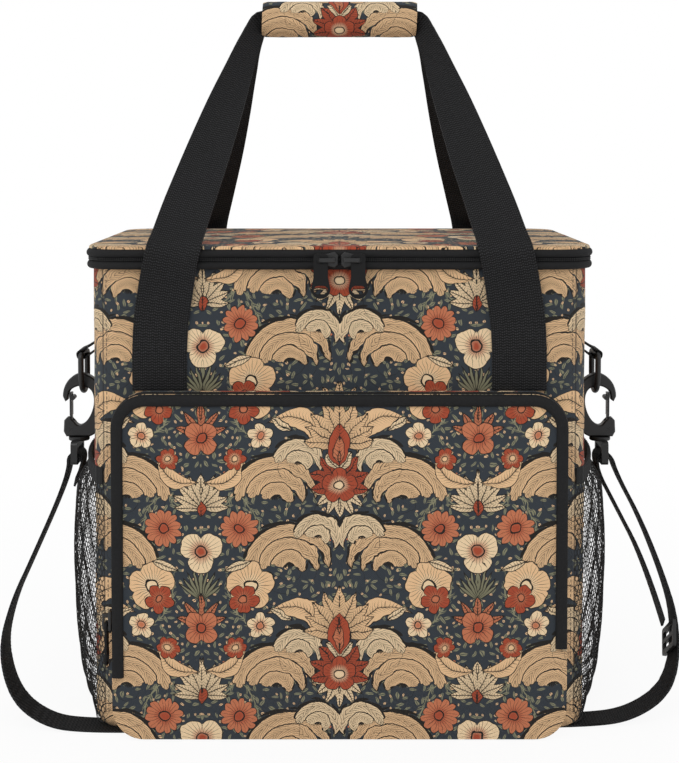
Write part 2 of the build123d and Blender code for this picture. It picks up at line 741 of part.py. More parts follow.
# Shoulder strap: sewn round the left eye, down and forward to the ground, under the bag, up to the
# adjuster, round the right eye and back down to the adjuster's bar
strap_route = [
    (-202.4, -8.5, 154.0),
    (-197.3, -1.0, 165.0),
    (-197.0, 0.0, 176.6),
    (-207.2, 0.0, 176.6),
    (-207.6, -1.5, 163.0),
    (-214.5, -13.0, 141.0),
    (-228.5, -34.0, 106.0),
    (-241.0, -55.0, 75.0),
    (-244.5, -74.0, 46.0),
    (-231.5, -92.5, 17.5),
    (-206.0, -104.0, 3.6),
    (-177.0, -106.2, 1.0),
    (-122.0, -105.2, 1.0),
    (-52.0, -102.0, 1.0),
    (38.0, -99.0, 1.0),
    (116.0, -97.2, 1.0),
    (176.0, -95.0, 1.0),
    (206.0, -93.0, 4.0),
    (232.5, -85.0, 17.0),
    (244.0, -72.0, 37.0),
    (247.0, -55.0, 64.0),
    (241.5, -41.0, 90.0),
    (228.5, -18.5, 128.0),
    (212.5, -3.0, 160.0),
    (207.4, 0.0, 176.6),
    (197.0, 0.0, 176.6),
    (197.6, -1.5, 163.0),
    (208.5, -12.5, 141.0),
    (229.0, -36.0, 99.0),
    (238.6, -58.4, 60.0),
]


def bend_radii(route):
    """For each inner point, the arc's radius: 0.45 of the shorter run over the tangent of half the turn."""
    points = [Vector(*p) for p in route]
    radii = []
    for before, here, after in zip(points, points[1:], points[2:]):
        turn = (here - before).get_angle(after - here)
        shorter = min((here - before).length, (after - here).length)
        radii.append(0.45 * shorter / math.tan(math.radians(turn) / 2))
    return radii


strap_radii = bend_radii(strap_route)
with BuildLine() as strap_line:
    FilletPolyline(*strap_route, radius=strap_radii)
strap_wire = strap_line.wires()[0]
strap_length = strap_wire.length
strap_marks = [0.0]
for edge in strap_line.edges():
    at_end = strap_wire.param_at_point(edge @ 1)
    turned = edge.tangent_at(0).get_angle(edge.tangent_at(1))
    steps = max(1, math.ceil(turned / strap_facet))
    at_start = strap_wire.param_at_point(edge @ 0)
    low, high = min(at_start, at_end), max(at_start, at_end)
    strap_marks += [low + (high - low) * (k + 1) / steps for k in range(steps)]
with BuildPart() as shoulder_strap:
    for mark in sorted(strap_marks):
        heading = strap_wire.tangent_at(mark)
        flat = heading.cross(Vector(0, 1, 0))
        with BuildSketch(Plane(origin=strap_wire.position_at(mark), x_dir=flat, z_dir=heading)):
            Rectangle(strap_t, strap_w)
    loft(ruled=True)
save(shoulder_strap.part, "shoulder_strap")
print("strap radii", [round(r, 1) for r in strap_radii])
print("strap length", round(strap_length, 1), "volume share", round(
    shoulder_strap.part.volume / (strap_length * strap_w * strap_t), 3))

# Adjuster: a flat frame with a middle bar between two slots
down = Vector(*glide_down).normalized()
across = (Vector(0, 1, 0) - down * down.Y).normalized()
glide_plane = Plane(origin=Vector(*glide_at), x_dir=across, z_dir=across.cross(down))
with BuildPart() as tri_glide:
    with BuildSketch(glide_plane):
        RectangleRounded(glide_w, glide_l, 2.6)
        shift = (glide_bar + glide_slot) / 2
        with Locations((0, shift), (0, -shift)):
            RectangleRounded(strap_w + 2, glide_slot, 1.2, mode=Mode.SUBTRACT)
    extrude(amount=glide_t / 2, both=True)
save(tri_glide.part, "tri_glide")
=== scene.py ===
"""Looks of an insulated carrying bag: printed shell, zipped lid, bound front pocket, net side pockets,
webbing handles with a grip wrap, and a shoulder strap on snap hooks."""

import math

import bmesh
import bpy
from mathutils import Matrix, Vector, noise


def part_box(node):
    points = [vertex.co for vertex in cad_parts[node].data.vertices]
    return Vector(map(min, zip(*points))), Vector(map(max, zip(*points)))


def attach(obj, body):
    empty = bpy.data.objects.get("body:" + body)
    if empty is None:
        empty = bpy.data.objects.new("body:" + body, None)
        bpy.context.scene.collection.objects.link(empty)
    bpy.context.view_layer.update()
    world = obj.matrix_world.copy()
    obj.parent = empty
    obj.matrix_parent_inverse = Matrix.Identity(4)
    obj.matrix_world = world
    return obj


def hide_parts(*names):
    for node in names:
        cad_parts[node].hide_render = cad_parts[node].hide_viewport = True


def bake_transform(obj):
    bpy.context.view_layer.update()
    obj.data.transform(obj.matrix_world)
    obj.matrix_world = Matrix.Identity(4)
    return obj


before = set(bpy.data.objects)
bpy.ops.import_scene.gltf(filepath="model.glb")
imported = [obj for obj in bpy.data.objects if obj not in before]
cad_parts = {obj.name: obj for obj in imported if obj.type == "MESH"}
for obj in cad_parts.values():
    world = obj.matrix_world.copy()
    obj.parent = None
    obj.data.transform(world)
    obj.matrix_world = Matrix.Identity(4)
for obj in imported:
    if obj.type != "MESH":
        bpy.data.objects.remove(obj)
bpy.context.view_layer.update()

bl_info = {
    "name": "Insulated Carrying Bag",
    "version": (1, 0, 0),
    "blender": (4, 5, 0),
    "location": "View3D > Sidebar > Bag",
    "description": "Builds the fabric, zips, webbing, nets and stage of an insulated carrying bag",
    "category": "Add Mesh",
}

MM = 0.001

# Sizes taken from the solids, in metres
SHELL_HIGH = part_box("rear_panel")[1]
SIDE_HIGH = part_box("right_side_panel")[1]
BASE_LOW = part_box("base_panel")[0]
LID_LOW, LID_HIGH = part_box("lid_cover")
LOWER_LOW, LOWER_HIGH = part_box("lower_zip_tape")
UPPER_LOW, UPPER_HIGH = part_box("upper_zip_tape")
COIL_LOW, COIL_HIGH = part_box("main_zip_coil")
POCKET_LOW, POCKET_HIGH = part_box("pocket_panel")
GUSSET_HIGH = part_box("pocket_gusset")[1]
GRIP_LOW, GRIP_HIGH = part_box("grip_wrap")

HALF_W = SIDE_HIGH[0]
HALF_D = SHELL_HIGH[1]
CORNER = 22 * MM
CORNER_X = HALF_W - CORNER
CORNER_Y = HALF_D - CORNER
TOP = SHELL_HIGH[2]
SEAM = SHELL_HIGH[0]

# Webbing and zips, in metres
WEB_WIDE, WEB_THICK, WEB_FACE = 0.038, 0.0018, 0.1163
STRAP_WIDE, STRAP_THICK = 0.0248, 0.0016
TAB_WIDE, TAB_THICK = 0.0245, 0.0015
TOOTH_PITCH, TOOTH_WIDE = 0.0013, 0.0009
TAPE_DEEP, ROLL_DEEP = 0.0020, 0.0022


# Sizes and colours a user would change
def colour(label, text, value):
    return bpy.props.FloatVectorProperty(
        name=label, description=text, default=value, size=3, subtype="COLOR", min=0.0, max=1.0
    )


def length(label, text, value):
    return bpy.props.FloatProperty(name=label, description=text, default=value, unit="LENGTH")


def number(label, text, value):
    return bpy.props.FloatProperty(name=label, description=text, default=value)


class BagPrint(bpy.types.PropertyGroup):
    ground: colour("Ground", "Slate ground of the print", (0.034, 0.043, 0.054))
    peach: colour("Peach", "Pale petals and plumes", (0.92, 0.60, 0.33))
    cream: colour("Cream", "Lightest petals", (0.98, 0.74, 0.46))
    coral: colour("Coral", "Small flowers", (0.62, 0.20, 0.095))
    rust: colour("Rust", "Large flowers", (0.44, 0.075, 0.030))
    sage: colour("Sage", "Sprigs and stems", (0.27, 0.26, 0.16))
    ink: colour("Ink", "Fine outlines", (0.013, 0.010, 0.007))
    repeat: length("Repeat", "Width of one repeat of the print", 0.190)
    drop: length("Drop", "Height of one repeat of the print", 0.131)


class BagFabric(bpy.types.PropertyGroup):
    webbing: colour("Webbing", "Black webbing", (0.0052, 0.0052, 0.0056))
    binding: colour("Binding", "Black binding and zip tape", (0.0048, 0.0048, 0.0052))
    plastic: colour("Plastic", "Black moulded hardware", (0.0060, 0.0060, 0.0064))
    swell: length("Swell", "How far the padded walls swell", 0.0024)
    wrinkle: length("Wrinkle", "Depth of the soft dents in the walls", 0.0011)


class BagStage(bpy.types.PropertyGroup):
    key: number("Key light", "Watts of the large light above the front", 15.0)
    fill: number("Fill light", "Watts of the lights at the sides", 7.0)
    world: number("World", "Strength of the light all round", 0.62)


def prints():
    return bpy.context.scene.bag_print


def fabrics():
    return bpy.context.scene.bag_fabric


# Shader maths
class Socket:
    """A shader value: arithmetic on it adds Math nodes."""

    def __init__(self, graph, out):
        self.graph, self.out = graph, out

    def math(self, kind, *others):
        return self.graph.node("ShaderNodeMath", {"operation": kind}, self, *others)

    def __add__(self, other):
        return self.math("ADD", other)

    __radd__ = __add__

    def __sub__(self, other):
        return self.math("SUBTRACT", other)

    def __rsub__(self, other):
        return self.graph.node("ShaderNodeMath", {"operation": "SUBTRACT"}, other, self)

    def __mul__(self, other):
        return self.math("MULTIPLY", other)

    __rmul__ = __mul__

    def __truediv__(self, other):
        return self.math("DIVIDE", other)

    def __gt__(self, other):
        return self.math("GREATER_THAN", other)

    def __lt__(self, other):
        return self.math("LESS_THAN", other)

    def __abs__(self):
        return self.math("ABSOLUTE")

    def sin(self):
        return self.math("SINE")

    def cos(self):
        return self.math("COSINE")

    def wave(self, pitch):
        """A sine of one period per pitch."""
        return (self * (2 * math.pi / pitch)).sin()

    def fold(self, width):
        """The distance to the nearest multiple of width."""
        return self.math("PINGPONG", width / 2)

    def within(self, width):
        return self.math("FLOORED_MODULO", width)

    def least(self, other):
        return self.math("MINIMUM", other)

    def most(self, other):
        return self.math("MAXIMUM", other)


class Graph:
    """A node tree that maths is written into."""

    def __init__(self, tree):
        self.tree = tree

    def node(self, kind, settings, *inputs, out=0, **named):
        """Adds any node: settings first, then its inputs by place or by name."""
        made = self.tree.nodes.new(kind)
        for key, value in settings.items():
            setattr(made, key, value)
        for place, value in list(enumerate(inputs)) + list(named.items()):
            key = place if isinstance(place, int) else place.replace("_", " ")
            self.feed(made.inputs[key], value)
        return Socket(self, made.outputs[out])

    def feed(self, socket, value):
        if isinstance(value, Socket):
            self.tree.links.new(value.out, socket)
        elif hasattr(value, "__len__") and len(value) == 3 and socket.type == "RGBA":
            socket.default_value = (*value, 1.0)
        else:
            socket.default_value = value

    def mix(self, share, first, second):
        made = self.tree.nodes.new("ShaderNodeMix")
        made.data_type = "RGBA"
        for socket, value in ((made.inputs[0], share), (made.inputs[6], first), (made.inputs[7], second)):
            self.feed(socket, value)
        return Socket(self, made.outputs[2])


class Finish(Graph):
    """A material being made from nodes."""

    def __init__(self, name):
        self.material = bpy.data.materials.new(name)
        self.material.use_nodes = True
        super().__init__(self.material.node_tree)
        self.shader = self.tree.nodes["Principled BSDF"]

    def place(self):
        """Object coordinates in millimetres, as three values."""
        where = self.node("ShaderNodeTexCoord", {}, out="Object")
        parts = self.node("ShaderNodeSeparateXYZ", {}, where)
        node = parts.out.node
        return [Socket(self, node.outputs[i]) * 1000.0 for i in range(3)]

    def cloth(self):
        """The piece's own map in millimetres, across and along."""
        where = self.node("ShaderNodeUVMap", {"uv_map": "cloth"})
        parts = self.node("ShaderNodeSeparateXYZ", {}, where)
        node = parts.out.node
        return [Socket(self, node.outputs[i]) * 1000.0 for i in range(2)]

    def grain(self, scale, detail=2.0, rough=0.5, at=None):
        where = at or self.node("ShaderNodeTexCoord", {}, out="Object")
        return self.node(
            "ShaderNodeTexNoise", {}, Vector=where, Scale=scale, Detail=detail, Roughness=rough
        )

    def set(self, **values):
        for name, value in values.items():
            self.feed(self.shader.inputs[name.replace("_", " ")], value)
        return self

    def bump(self, height, distance, strength=1.0):
        made = self.node("ShaderNodeBump", {}, Strength=strength, Distance=distance, Height=height)
        self.set(Normal=made)
        return self


class Motif(Graph):
    """A node group that draws one shape of the print over what lies below it."""

    def __init__(self, name, sizes):
        super().__init__(bpy.data.node_groups.new(name, "ShaderNodeTree"))
        self.sizes = sizes
        for label in ("p", "q", *sizes):
            self.tree.interface.new_socket(label, in_out="INPUT", socket_type="NodeSocketFloat")
        for label in ("below", "paint", "shadow"):
            self.tree.interface.new_socket(label, in_out="INPUT", socket_type="NodeSocketColor")
        self.tree.interface.new_socket("colour", in_out="OUTPUT", socket_type="NodeSocketColor")
        self.start = self.tree.nodes.new("NodeGroupInput")
        self.end = self.tree.nodes.new("NodeGroupOutput")

    def given(self, *labels):
        values = [Socket(self, self.start.outputs[label]) for label in labels]
        return values if len(values) > 1 else values[0]

    def polar(self, dx, dy):
        far = self.node("ShaderNodeMath", {"operation": "SQRT"}, dx * dx + dy * dy)
        return far, self.node("ShaderNodeMath", {"operation": "ARCTAN2"}, dy, dx)

    def turned(self):
        """Coordinates about the motif's own point, turned by its own angle."""
        p, q, c, s = self.given("p", "q", "cos", "sin")
        return p * c + q * s, q * c - p * s

    def fill(self, inside, cuts=None, deep=None, edge=0.5):
        """Paints where inside is above 0: an ink line at the edge, paint within, and ink cuts."""
        below, paint = self.given("below", "paint")
        ink = prints().ink[:]
        if deep is not None:
            paint = self.mix(deep, paint, self.given("shadow"))
        body = inside > edge
        if cuts is not None:
            body = body * (1 - cuts)
        self.give(self.mix(body, self.mix(inside > -0.1, below, ink), paint))

    def give(self, colour):
        self.tree.links.new(colour.out, self.end.inputs[0])


def plume_motif():
    """Feathered leaves nested one outside the other, each with an arc about the same point as its spine."""
    m = Motif("plume", ("cos", "sin", "radius", "step", "rings", "shift", "sweep", "broad", "lobes"))
    radius, step, rings, shift, sweep, broad, lobes = m.given(*m.sizes[2:])
    far, angle = m.polar(*m.turned())
    ring = ((far - radius) / step).math("ROUND").most(0.0).least(rings)
    off = abs(far - radius - ring * step)
    along = (angle + ring * shift) / sweep + 0.5
    share = off / broad
    shape = (along * (1 - along)).most(0.0).math("POWER", 0.5) * (along * 1.3 + 1.3) * broad
    phase = (along - off * 0.05) * lobes
    inside = shape * (abs(phase.sin()).math("POWER", 0.6) * 0.40 + 0.60) - off
    cuts = (abs((phase * 2.5).sin()) < 0.30 - share * 0.26).most(off > step * 0.5 - 0.4)
    m.fill(inside, cuts, 0.60 - share * 1.1)
    return m


def fan_motif():
    """Pointed petals that spread from one point, the middle one longest."""
    m = Motif("fan", ("cos", "sin", "step", "side", "long", "broad", "strokes"))
    step, side, long, broad, strokes = m.given(*m.sizes[2:])
    far, angle = m.polar(*m.turned())
    index = (angle / step).math("ROUND").least(side).most(0 - side)
    angle = angle - index * step
    long = long * (1 - abs(index) * 0.07)
    along, aside = far * angle.cos() - long, abs(far * angle.sin())
    reach = along / long
    inside = (1 - reach * reach) * broad - aside
    share = aside / broad
    slant = abs((along - aside * 0.8).wave(4.2)) < 0.32 - share * 0.28
    m.fill(inside, (aside < 0.30).most(slant) * strokes, 0.40 - reach * 0.5)
    return m


def bloom_motif():
    """A flower of round petals round a heart, with strokes that run out from it."""
    m = Motif("bloom", ("cos", "sin", "size", "petals", "depth", "strokes"))
    size, petals, depth, strokes = m.given(*m.sizes[2:])
    far, angle = m.polar(*m.turned())
    far = far / size
    lobe = abs((angle * petals).cos()).math("POWER", 0.5)
    inside = (lobe * depth + 1 - depth - far) * size
    ring = abs(far - 0.25) < 0.035
    cuts = (abs((angle * strokes).sin()) < 0.44 - far * 0.44).most(ring) * (far > 0.215)
    m.fill(inside, cuts, 1.25 - far * 2.2)
    return m


def leaf_motif():
    """A pointed petal with a midrib and slanting strokes."""
    m = Motif("leaf", ("cos", "sin", "long", "broad", "bend"))
    long, broad, bend = m.given(*m.sizes[2:])
    along, aside = m.turned()
    side = abs(aside + along * along * bend)
    reach = along / long
    inside = (1 - reach * reach) * broad - side
    slant = abs((along - side * 0.8).wave(4.4)) < 0.30 - side * 0.06
    m.fill(inside, (side < 0.32).most(slant), 0.5 - side * 0.3)
    return m


def sprig_motif():
    """A curved stem with fine leaves on both sides, part of a circle."""
    m = Motif("sprig", ("cos", "sin", "radius", "reach", "count", "broad"))
    radius, reach, count, broad = m.given("radius", "reach", "count", "broad")
    far, angle = m.polar(*m.turned())
    side = abs(far - radius)
    beat = (angle * count - side * 1.3).sin()
    stem = (side < 0.42).most((beat > 0.05) * (side < beat * broad) * (beat < 0.92))
    m.give(m.mix(stem * (abs(angle) < reach), *m.given("below", "paint")))
    return m


def beads_motif():
    """A string of berries along an arc."""
    m = Motif("beads", ("cos", "sin", "radius", "reach", "count", "broad"))
    radius, reach, count, broad = m.given("radius", "reach", "count", "broad")
    far, angle = m.polar(*m.turned())
    bead = broad - abs(far - radius) - (1 - (angle * count).sin()) * broad * 0.8
    m.give(m.mix((bead > 0.0) * (abs(angle) < reach), *m.given("below", "paint")))
    return m


def scatter_motif():
    """Small loose leaves where the ground is open, each turned its own way."""
    m = Motif("scatter", ("open", "cell", "long", "broad", "chance"))
    p, q, cell, long, broad, chance = m.given("p", "q", "cell", "long", "broad", "chance")
    u, v = p / cell, q / cell
    spots = m.node(
        "ShaderNodeTexVoronoi", {"voronoi_dimensions": "2D", "feature": "F1"},
        Vector=m.node("ShaderNodeCombineXYZ", {}, u, v, 0.0), Scale=1.0,
    ).out.node
    tint = m.node("ShaderNodeSeparateColor", {}, Socket(m, spots.outputs["Color"])).out.node
    centre = m.node("ShaderNodeSeparateXYZ", {}, Socket(m, spots.outputs["Position"])).out.node
    dx, dy = (u - Socket(m, centre.outputs[0])) * cell, (v - Socket(m, centre.outputs[1])) * cell
    turn = Socket(m, tint.outputs[1]) * (2 * math.pi)
    c, s = turn.cos(), turn.sin()
    along, aside = (dx * c + dy * s) / long, abs(dy * c - dx * s)
    inside = (1 - along * along) * broad - aside
    shown = (inside > 0.0) * (aside > 0.16) * (Socket(m, tint.outputs[0]) < chance) * m.given("open")
    m.give(m.mix(shown, *m.given("below", "paint")))
    return m


class Damask:
    """The print: mirrored plumes, lilies, daisies and sprigs, drawn like an engraving on a slate ground."""

    def __init__(self, f, u, v):
        self.f = f
        self.look = prints()
        self.wide, self.tall = self.look.repeat * 1000, self.look.drop * 1000
        self.half = self.wide / 2
        flat = f.node("ShaderNodeCombineXYZ", {}, u * 0.001, v * 0.001, 0.0)
        sway = (f.grain(95.0, 2.0, 0.5, flat) - 0.5) * 6.0
        self.p = u.fold(self.wide) + sway
        self.q_low = (v + self.tall / 2).within(self.tall) - self.tall / 2 - sway * 0.7
        self.q_high = v.within(self.tall) - sway * 0.7
        self.base = self.look.ground[:]
        self.motifs = {
            "plume": plume_motif(), "fan": fan_motif(), "bloom": bloom_motif(), "leaf": leaf_motif(),
            "sprig": sprig_motif(), "beads": beads_motif(), "scatter": scatter_motif(),
        }

    def place(self, kind, x, y, turn, paint, shadow=None, **sizes):
        """Lays one motif at a point of the repeat, in mm, turned by an angle in degrees."""
        q, y = (self.q_high, y) if 32 < y < 99 else (self.q_low, y if y <= 32 else y - self.tall)
        if kind != "scatter":
            sizes.update(cos=math.cos(math.radians(turn)), sin=math.sin(math.radians(turn)))
        self.base = self.f.node(
            "ShaderNodeGroup", {"node_tree": self.motifs[kind].tree},
            p=self.p - x, q=q - y, below=self.base, paint=paint,
            shadow=shadow or [c * 0.60 for c in paint], **sizes
        )

    def plume(self, x, y, radius, step, rings, start, sweep, broad, paint, lobes, shift=0.0):
        self.place("plume", x, y, start + sweep / 2, paint, radius=radius, step=step, rings=rings,
                   shift=shift, sweep=math.radians(sweep), broad=broad, lobes=math.pi * lobes)

    def fan(self, x, y, axis, count, step, long, broad, paint, strokes=True):
        self.place("fan", x, y, axis, paint, step=math.radians(step), side=(count - 1) / 2,
                   long=long / 2, broad=broad, strokes=float(strokes))

    def bloom(self, x, y, size, petals, depth, paint, heart, turn=0.0, strokes=3):
        self.place("bloom", x, y, turn, paint, heart, size=size, petals=petals / 2, depth=depth,
                   strokes=petals * strokes / 2)

    def leaf(self, x, y, angle, long, broad, paint, bend=0.0):
        self.place("leaf", x, y, angle, paint, long=long, broad=broad, bend=bend)

    def arc(self, kind, x, y, radius, low, high, paint, count, broad):
        self.place(kind, x, y, (low + high) / 2, paint, radius=radius, count=count, broad=broad,
                   reach=math.radians((high - low) / 2))

    def draw(self):
        """One repeat: the main axis is at 0 and the second one at half the repeat."""
        look, half = self.look, self.half
        peach, cream, coral = look.peach[:], look.cream[:], look.coral[:]
        rust, sage = look.rust[:], look.sage[:]
        # Stems and strings of berries
        self.arc("sprig", half - 6, 22, 34, 118, 196, sage, 30.0, 3.2)
        self.arc("sprig", half + 2, 66, 30, 150, 236, sage, 30.0, 3.2)
        self.arc("sprig", 46, 116, 30, -66, 34, sage, 30.0, 3.2)
        self.arc("beads", half, 68, 16, 190, 350, coral, 32.0, 1.0)
        self.arc("beads", 0, 30, 13, 190, 350, coral, 30.0, 0.9)
        # Plumes that rise from the main axis and fall outward, in two tiers
        self.plume(34, -2, 8.8, 9.0, 2, 192, -184, 8.0, peach, 6, 0.12)
        self.plume(15, 19, 6, 7.4, 1, 216, -206, 6.4, cream, 5, 0.10)
        self.plume(43, 45, 8.8, 9.0, 2, 190, -176, 8.0, peach, 6, 0.12)
        self.plume(28, 70, 6.5, 7.8, 1, 206, -196, 6.6, cream, 5, 0.10)
        # Palmette behind the bud
        self.leaf(24, 101, 28, 22, 8.0, peach, 0.03)
        self.fan(0, 84, 90, 9, 21, 34, 5.0, peach)
        # Rust flower with a bud above it
        self.fan(0, 55, -90, 7, 25, 24, 3.4, cream)
        self.fan(0, 56, 90, 7, 33, 26, 4.6, rust)
        self.fan(0, 66, 90, 3, 34, 17, 3.4, cream)
        self.leaf(0, 84, 90, 15, 8.0, rust)
        self.leaf(0, 81, 90, 9, 4.0, coral)
        self.bloom(0, 56, 12.5, 5, 0.40, rust, cream, 90, 5)
        # Second axis: pansy over a fan of grass, lily with wings, coral flower
        self.fan(half, -24, 90, 9, 13, 26, 1.3, sage, False)
        self.bloom(half, 10, 15.5, 3, 0.46, cream, rust, 30, 9)
        self.fan(half, 40, 90, 9, 22, 27, 3.3, cream)
        self.leaf(half, 40, 90, 6, 3.4, rust)
        self.fan(half, 90, 90, 5, 36, 22, 2.8, coral)
        self.bloom(half, 88, 13.0, 4, 0.50, coral, rust, 45, 5)
        self.leaf(half - 20, 60, 146, 17, 6.0, peach, 0.03)
        # Between the axes: daisies, and red flowers over round petals
        self.bloom(69, 26, 13.2, 12, 0.30, coral, rust, 10, 2)
        self.bloom(61, 117, 17.0, 5, 0.26, peach, cream, 20, 6)
        self.bloom(66, 108, 10.5, 5, 0.42, rust, coral, 50, 4)
        self.bloom(54, 90, 9.5, 5, 0.45, cream, coral, 14, 3)
        self.bloom(72, 74, 8.0, 6, 0.38, rust, peach, 0, 3)
        self.leaf(40, 98, 30, 9, 3.0, cream)
        self.leaf(70, 0, -20, 10, 3.2, cream)
        # Loose leaves and berries where the ground, the one bluish colour, is still open
        tint = self.f.node("ShaderNodeSeparateColor", {}, self.base).out.node
        clear = (Socket(self.f, tint.outputs[2]) - Socket(self.f, tint.outputs[0])) > 0.008
        self.place("scatter", 0, 0, 0, sage, cell=5.6, long=2.9, broad=0.95, chance=0.72, open=clear)
        self.place("scatter", 31, 7, 0, peach, cell=4.2, long=1.3, broad=0.75, chance=0.26, open=clear)
        return self.base


def printed(name):
    """The printed polyester of the body: its own print, a dotted diagonal weave and a dull sheen."""
    f = Finish(name)
    u, v = f.cloth()
    x, y, z = f.place()
    dots = (u + v).wave(1.36) * (u - v).wave(1.36)
    rib = (u + v).wave(0.92 * 1.41)
    # Painted shade: the seam line is painted darker, as shade in the seam's crease; the bump also cuts it in as
    # a groove.
    seam = (abs(abs(x) - SEAM / MM) < 0.55) * (z < TOP / MM) * (z > 12.0)
    stitch = (abs(abs(x) - SEAM / MM + 2.6) < 0.34) * (z.wave(3.4) > -0.35) * (z < TOP / MM) * (z > 12.0)
    patch = f.grain(14.0, 3.0)
    # The weave's dots and ribs are painted lighter where they are raised, a painted highlight; the seam is
    # painted shade; the patches are random tone.
    shade = dots * 0.15 + rib * 0.07 + 0.86 + (patch - 0.5) * 0.12 - seam * 0.55
    colour = f.mix(1.0 - shade, Damask(f, u, v).draw(), (0.010, 0.010, 0.012))
    f.set(
        Base_Color=f.mix(stitch * 0.75, colour, (0.02, 0.022, 0.026)),
        Roughness=(patch * 0.12) + 0.72,
        Sheen_Weight=0.08,
        Sheen_Roughness=0.5,
        Specular_IOR_Level=0.28,
    )
    f.bump(dots * 0.6 + rib * 0.4 + patch * 1.2 - seam * 4.0 - stitch * 1.2, 0.00018, 0.8)
    return f.material


def webbing_finish(name, pitch=1.9):
    """Black polypropylene webbing: a grid of raised picks in columns."""
    f = Finish(name)
    u, v = f.cloth()
    column = u.fold(4.6) / 2.3
    pick = (v + column * 0.9).wave(pitch)
    warp = u.wave(1.5)
    raised = (pick * 0.5 + 0.5) * (warp * 0.35 + 0.65)
    fuzz = f.grain(900.0, 1.0)
    # Painted highlight: the raised picks are painted lighter, up to 7.5 times the black, on top of random fuzz
    # tone.
    pick_highlight_and_fuzz = raised.math("POWER", 2.0) * 1.1 + (fuzz - 0.5) * 0.7
    base = fabrics().webbing[:]
    f.set(
        Base_Color=f.mix(pick_highlight_and_fuzz, [c * 0.4 for c in base], [c * 7.5 for c in base]),
        Roughness=(fuzz * 0.15) + 0.62,
        Specular_IOR_Level=0.22,
    )
    f.bump(raised + (fuzz - 0.5) * 0.3, 0.00030, 0.9)
    return f.material


def tape_finish(name, pitch=0.9):
    """Black woven tape or binding."""
    f = Finish(name)
    u, v = f.cloth()
    weave = (u.wave(pitch * 1.2) * v.wave(pitch)) + (v + u).wave(2.6) * 0.25
    fuzz = f.grain(700.0, 1.0)
    base = fabrics().binding[:]
    f.set(
        # Painted highlight: the weave's raised threads are painted a little lighter; the fuzz is random tone.
        Base_Color=f.mix(((fuzz - 0.5) * 1.6 + weave * 0.14 + 0.42), base, [c * 2.6 for c in base]),
        Roughness=(fuzz * 0.2) + 0.60,
        Specular_IOR_Level=0.26,
    )
    f.bump(weave * 0.5 + (fuzz - 0.5) * 0.5, 0.00016, 0.7)
    return f.material


def plastic_finish(name, rough=0.34, coat=0.15, scale=1.0, shine=0.5):
    """Moulded black plastic, faintly grained, a little duller in places."""
    f = Finish(name)
    cloud = f.grain(60.0 * scale, 2.0)
    fine = f.grain(1800.0, 1.0)
    base = fabrics().plastic[:]
    f.set(
        Base_Color=f.mix(cloud, base, [c * 1.5 for c in base]),
        Roughness=(cloud * 0.12) + (fine * 0.06) + rough,
        Coat_Weight=coat,
        Coat_Roughness=0.3,
        Specular_IOR_Level=shine,
    )
    f.bump(fine * 0.5 + cloud, 0.00004, 0.5)
    return f.material


def plain_finish(name, value, rough, grain, depth=0.0001):
    """A plain finish with fine grain, for pieces inside the bag."""
    f = Finish(name)
    fine = f.grain(grain, 3.0)
    f.set(Base_Color=f.mix(fine, value, [c * 0.86 for c in value]), Roughness=(fine * 0.2) + rough)
    f.bump(fine, depth, 0.6)
    return f.material


KINDS = {
    "print": (printed, "printed_polyester"),
    "webbing": (webbing_finish, "wide_webbing"),
    "strap": (webbing_finish, "strap_webbing", 1.6),
    "tape": (tape_finish, "zip_tape"),
    "binding": (tape_finish, "pocket_binding_tape", 0.8),
    "elastic": (tape_finish, "elastic_binding", 1.1),
    "net": (plastic_finish, "net_yarn", 0.6, 0.0),
    "coil": (plastic_finish, "zip_coil", 0.40, 0.1),
    "slider": (plastic_finish, "slider_lacquer", 0.36, 0.3),
    "rubber": (plastic_finish, "pull_rubber", 0.56, 0.0, 2.0, 0.22),
    "hardware": (plastic_finish, "moulded_hardware", 0.33, 0.1),
    "foam": (plain_finish, "white_foam", (0.78, 0.78, 0.76), 0.8, 500.0),
    "liner": (plain_finish, "silver_liner", (0.66, 0.67, 0.69), 0.34, 90.0, 0.0004),
    "board": (plain_finish, "grey_board", (0.42, 0.42, 0.41), 0.7, 250.0),
}
MADE = {}


def finish(kind):
    """Each finish is made once and kept."""
    if kind not in MADE:
        make, *settings = KINDS[kind]
        MADE[kind] = make(*settings)
    return MADE[kind]


# Modelling helpers
def clear_selection():
    if bpy.context.object and bpy.context.object.mode != "OBJECT":
        bpy.ops.object.mode_set(mode="OBJECT")
    bpy.ops.object.select_all(action="DESELECT")


def activate(obj):
    clear_selection()
    obj.select_set(True)
    bpy.context.view_layer.objects.active = obj


def grid(name, across, along, place, flat, close=False, caps=False):
    """A grid of faces whose corners go to place(s, t), s and t from 0 to 1.

    flat is its size on the cloth map, close joins its two sides, and caps fill its ends.
    """
    clear_selection()
    bpy.ops.mesh.primitive_grid_add(x_subdivisions=across, y_subdivisions=along, size=2, calc_uvs=False)
    obj = bpy.context.object
    obj.name = obj.data.name = name
    mesh = obj.data
    share = [((v.co.x + 1) / 2, (v.co.y + 1) / 2) for v in mesh.vertices]
    for vertex, (s, t) in zip(mesh.vertices, share):
        vertex.co = place(s, t)
    wide, long = flat
    layer = mesh.uv_layers.new(name="cloth")
    for loop in mesh.loops:
        s, t = share[loop.vertex_index]
        layer.data[loop.index].uv = (s * wide, t * long)
    if close or caps:
        bpy.ops.object.mode_set(mode="EDIT")
        bpy.ops.mesh.select_all(action="SELECT")
        bpy.ops.mesh.remove_doubles(threshold=1e-6)
        if caps:
            bpy.ops.mesh.select_all(action="DESELECT")
            bpy.ops.mesh.select_non_manifold()
            bpy.ops.mesh.edge_face_add()
        bpy.ops.mesh.select_all(action="SELECT")
        bpy.ops.mesh.normals_make_consistent(inside=False)
        bpy.ops.object.mode_set(mode="OBJECT")
    bpy.ops.object.shade_smooth()
    return obj


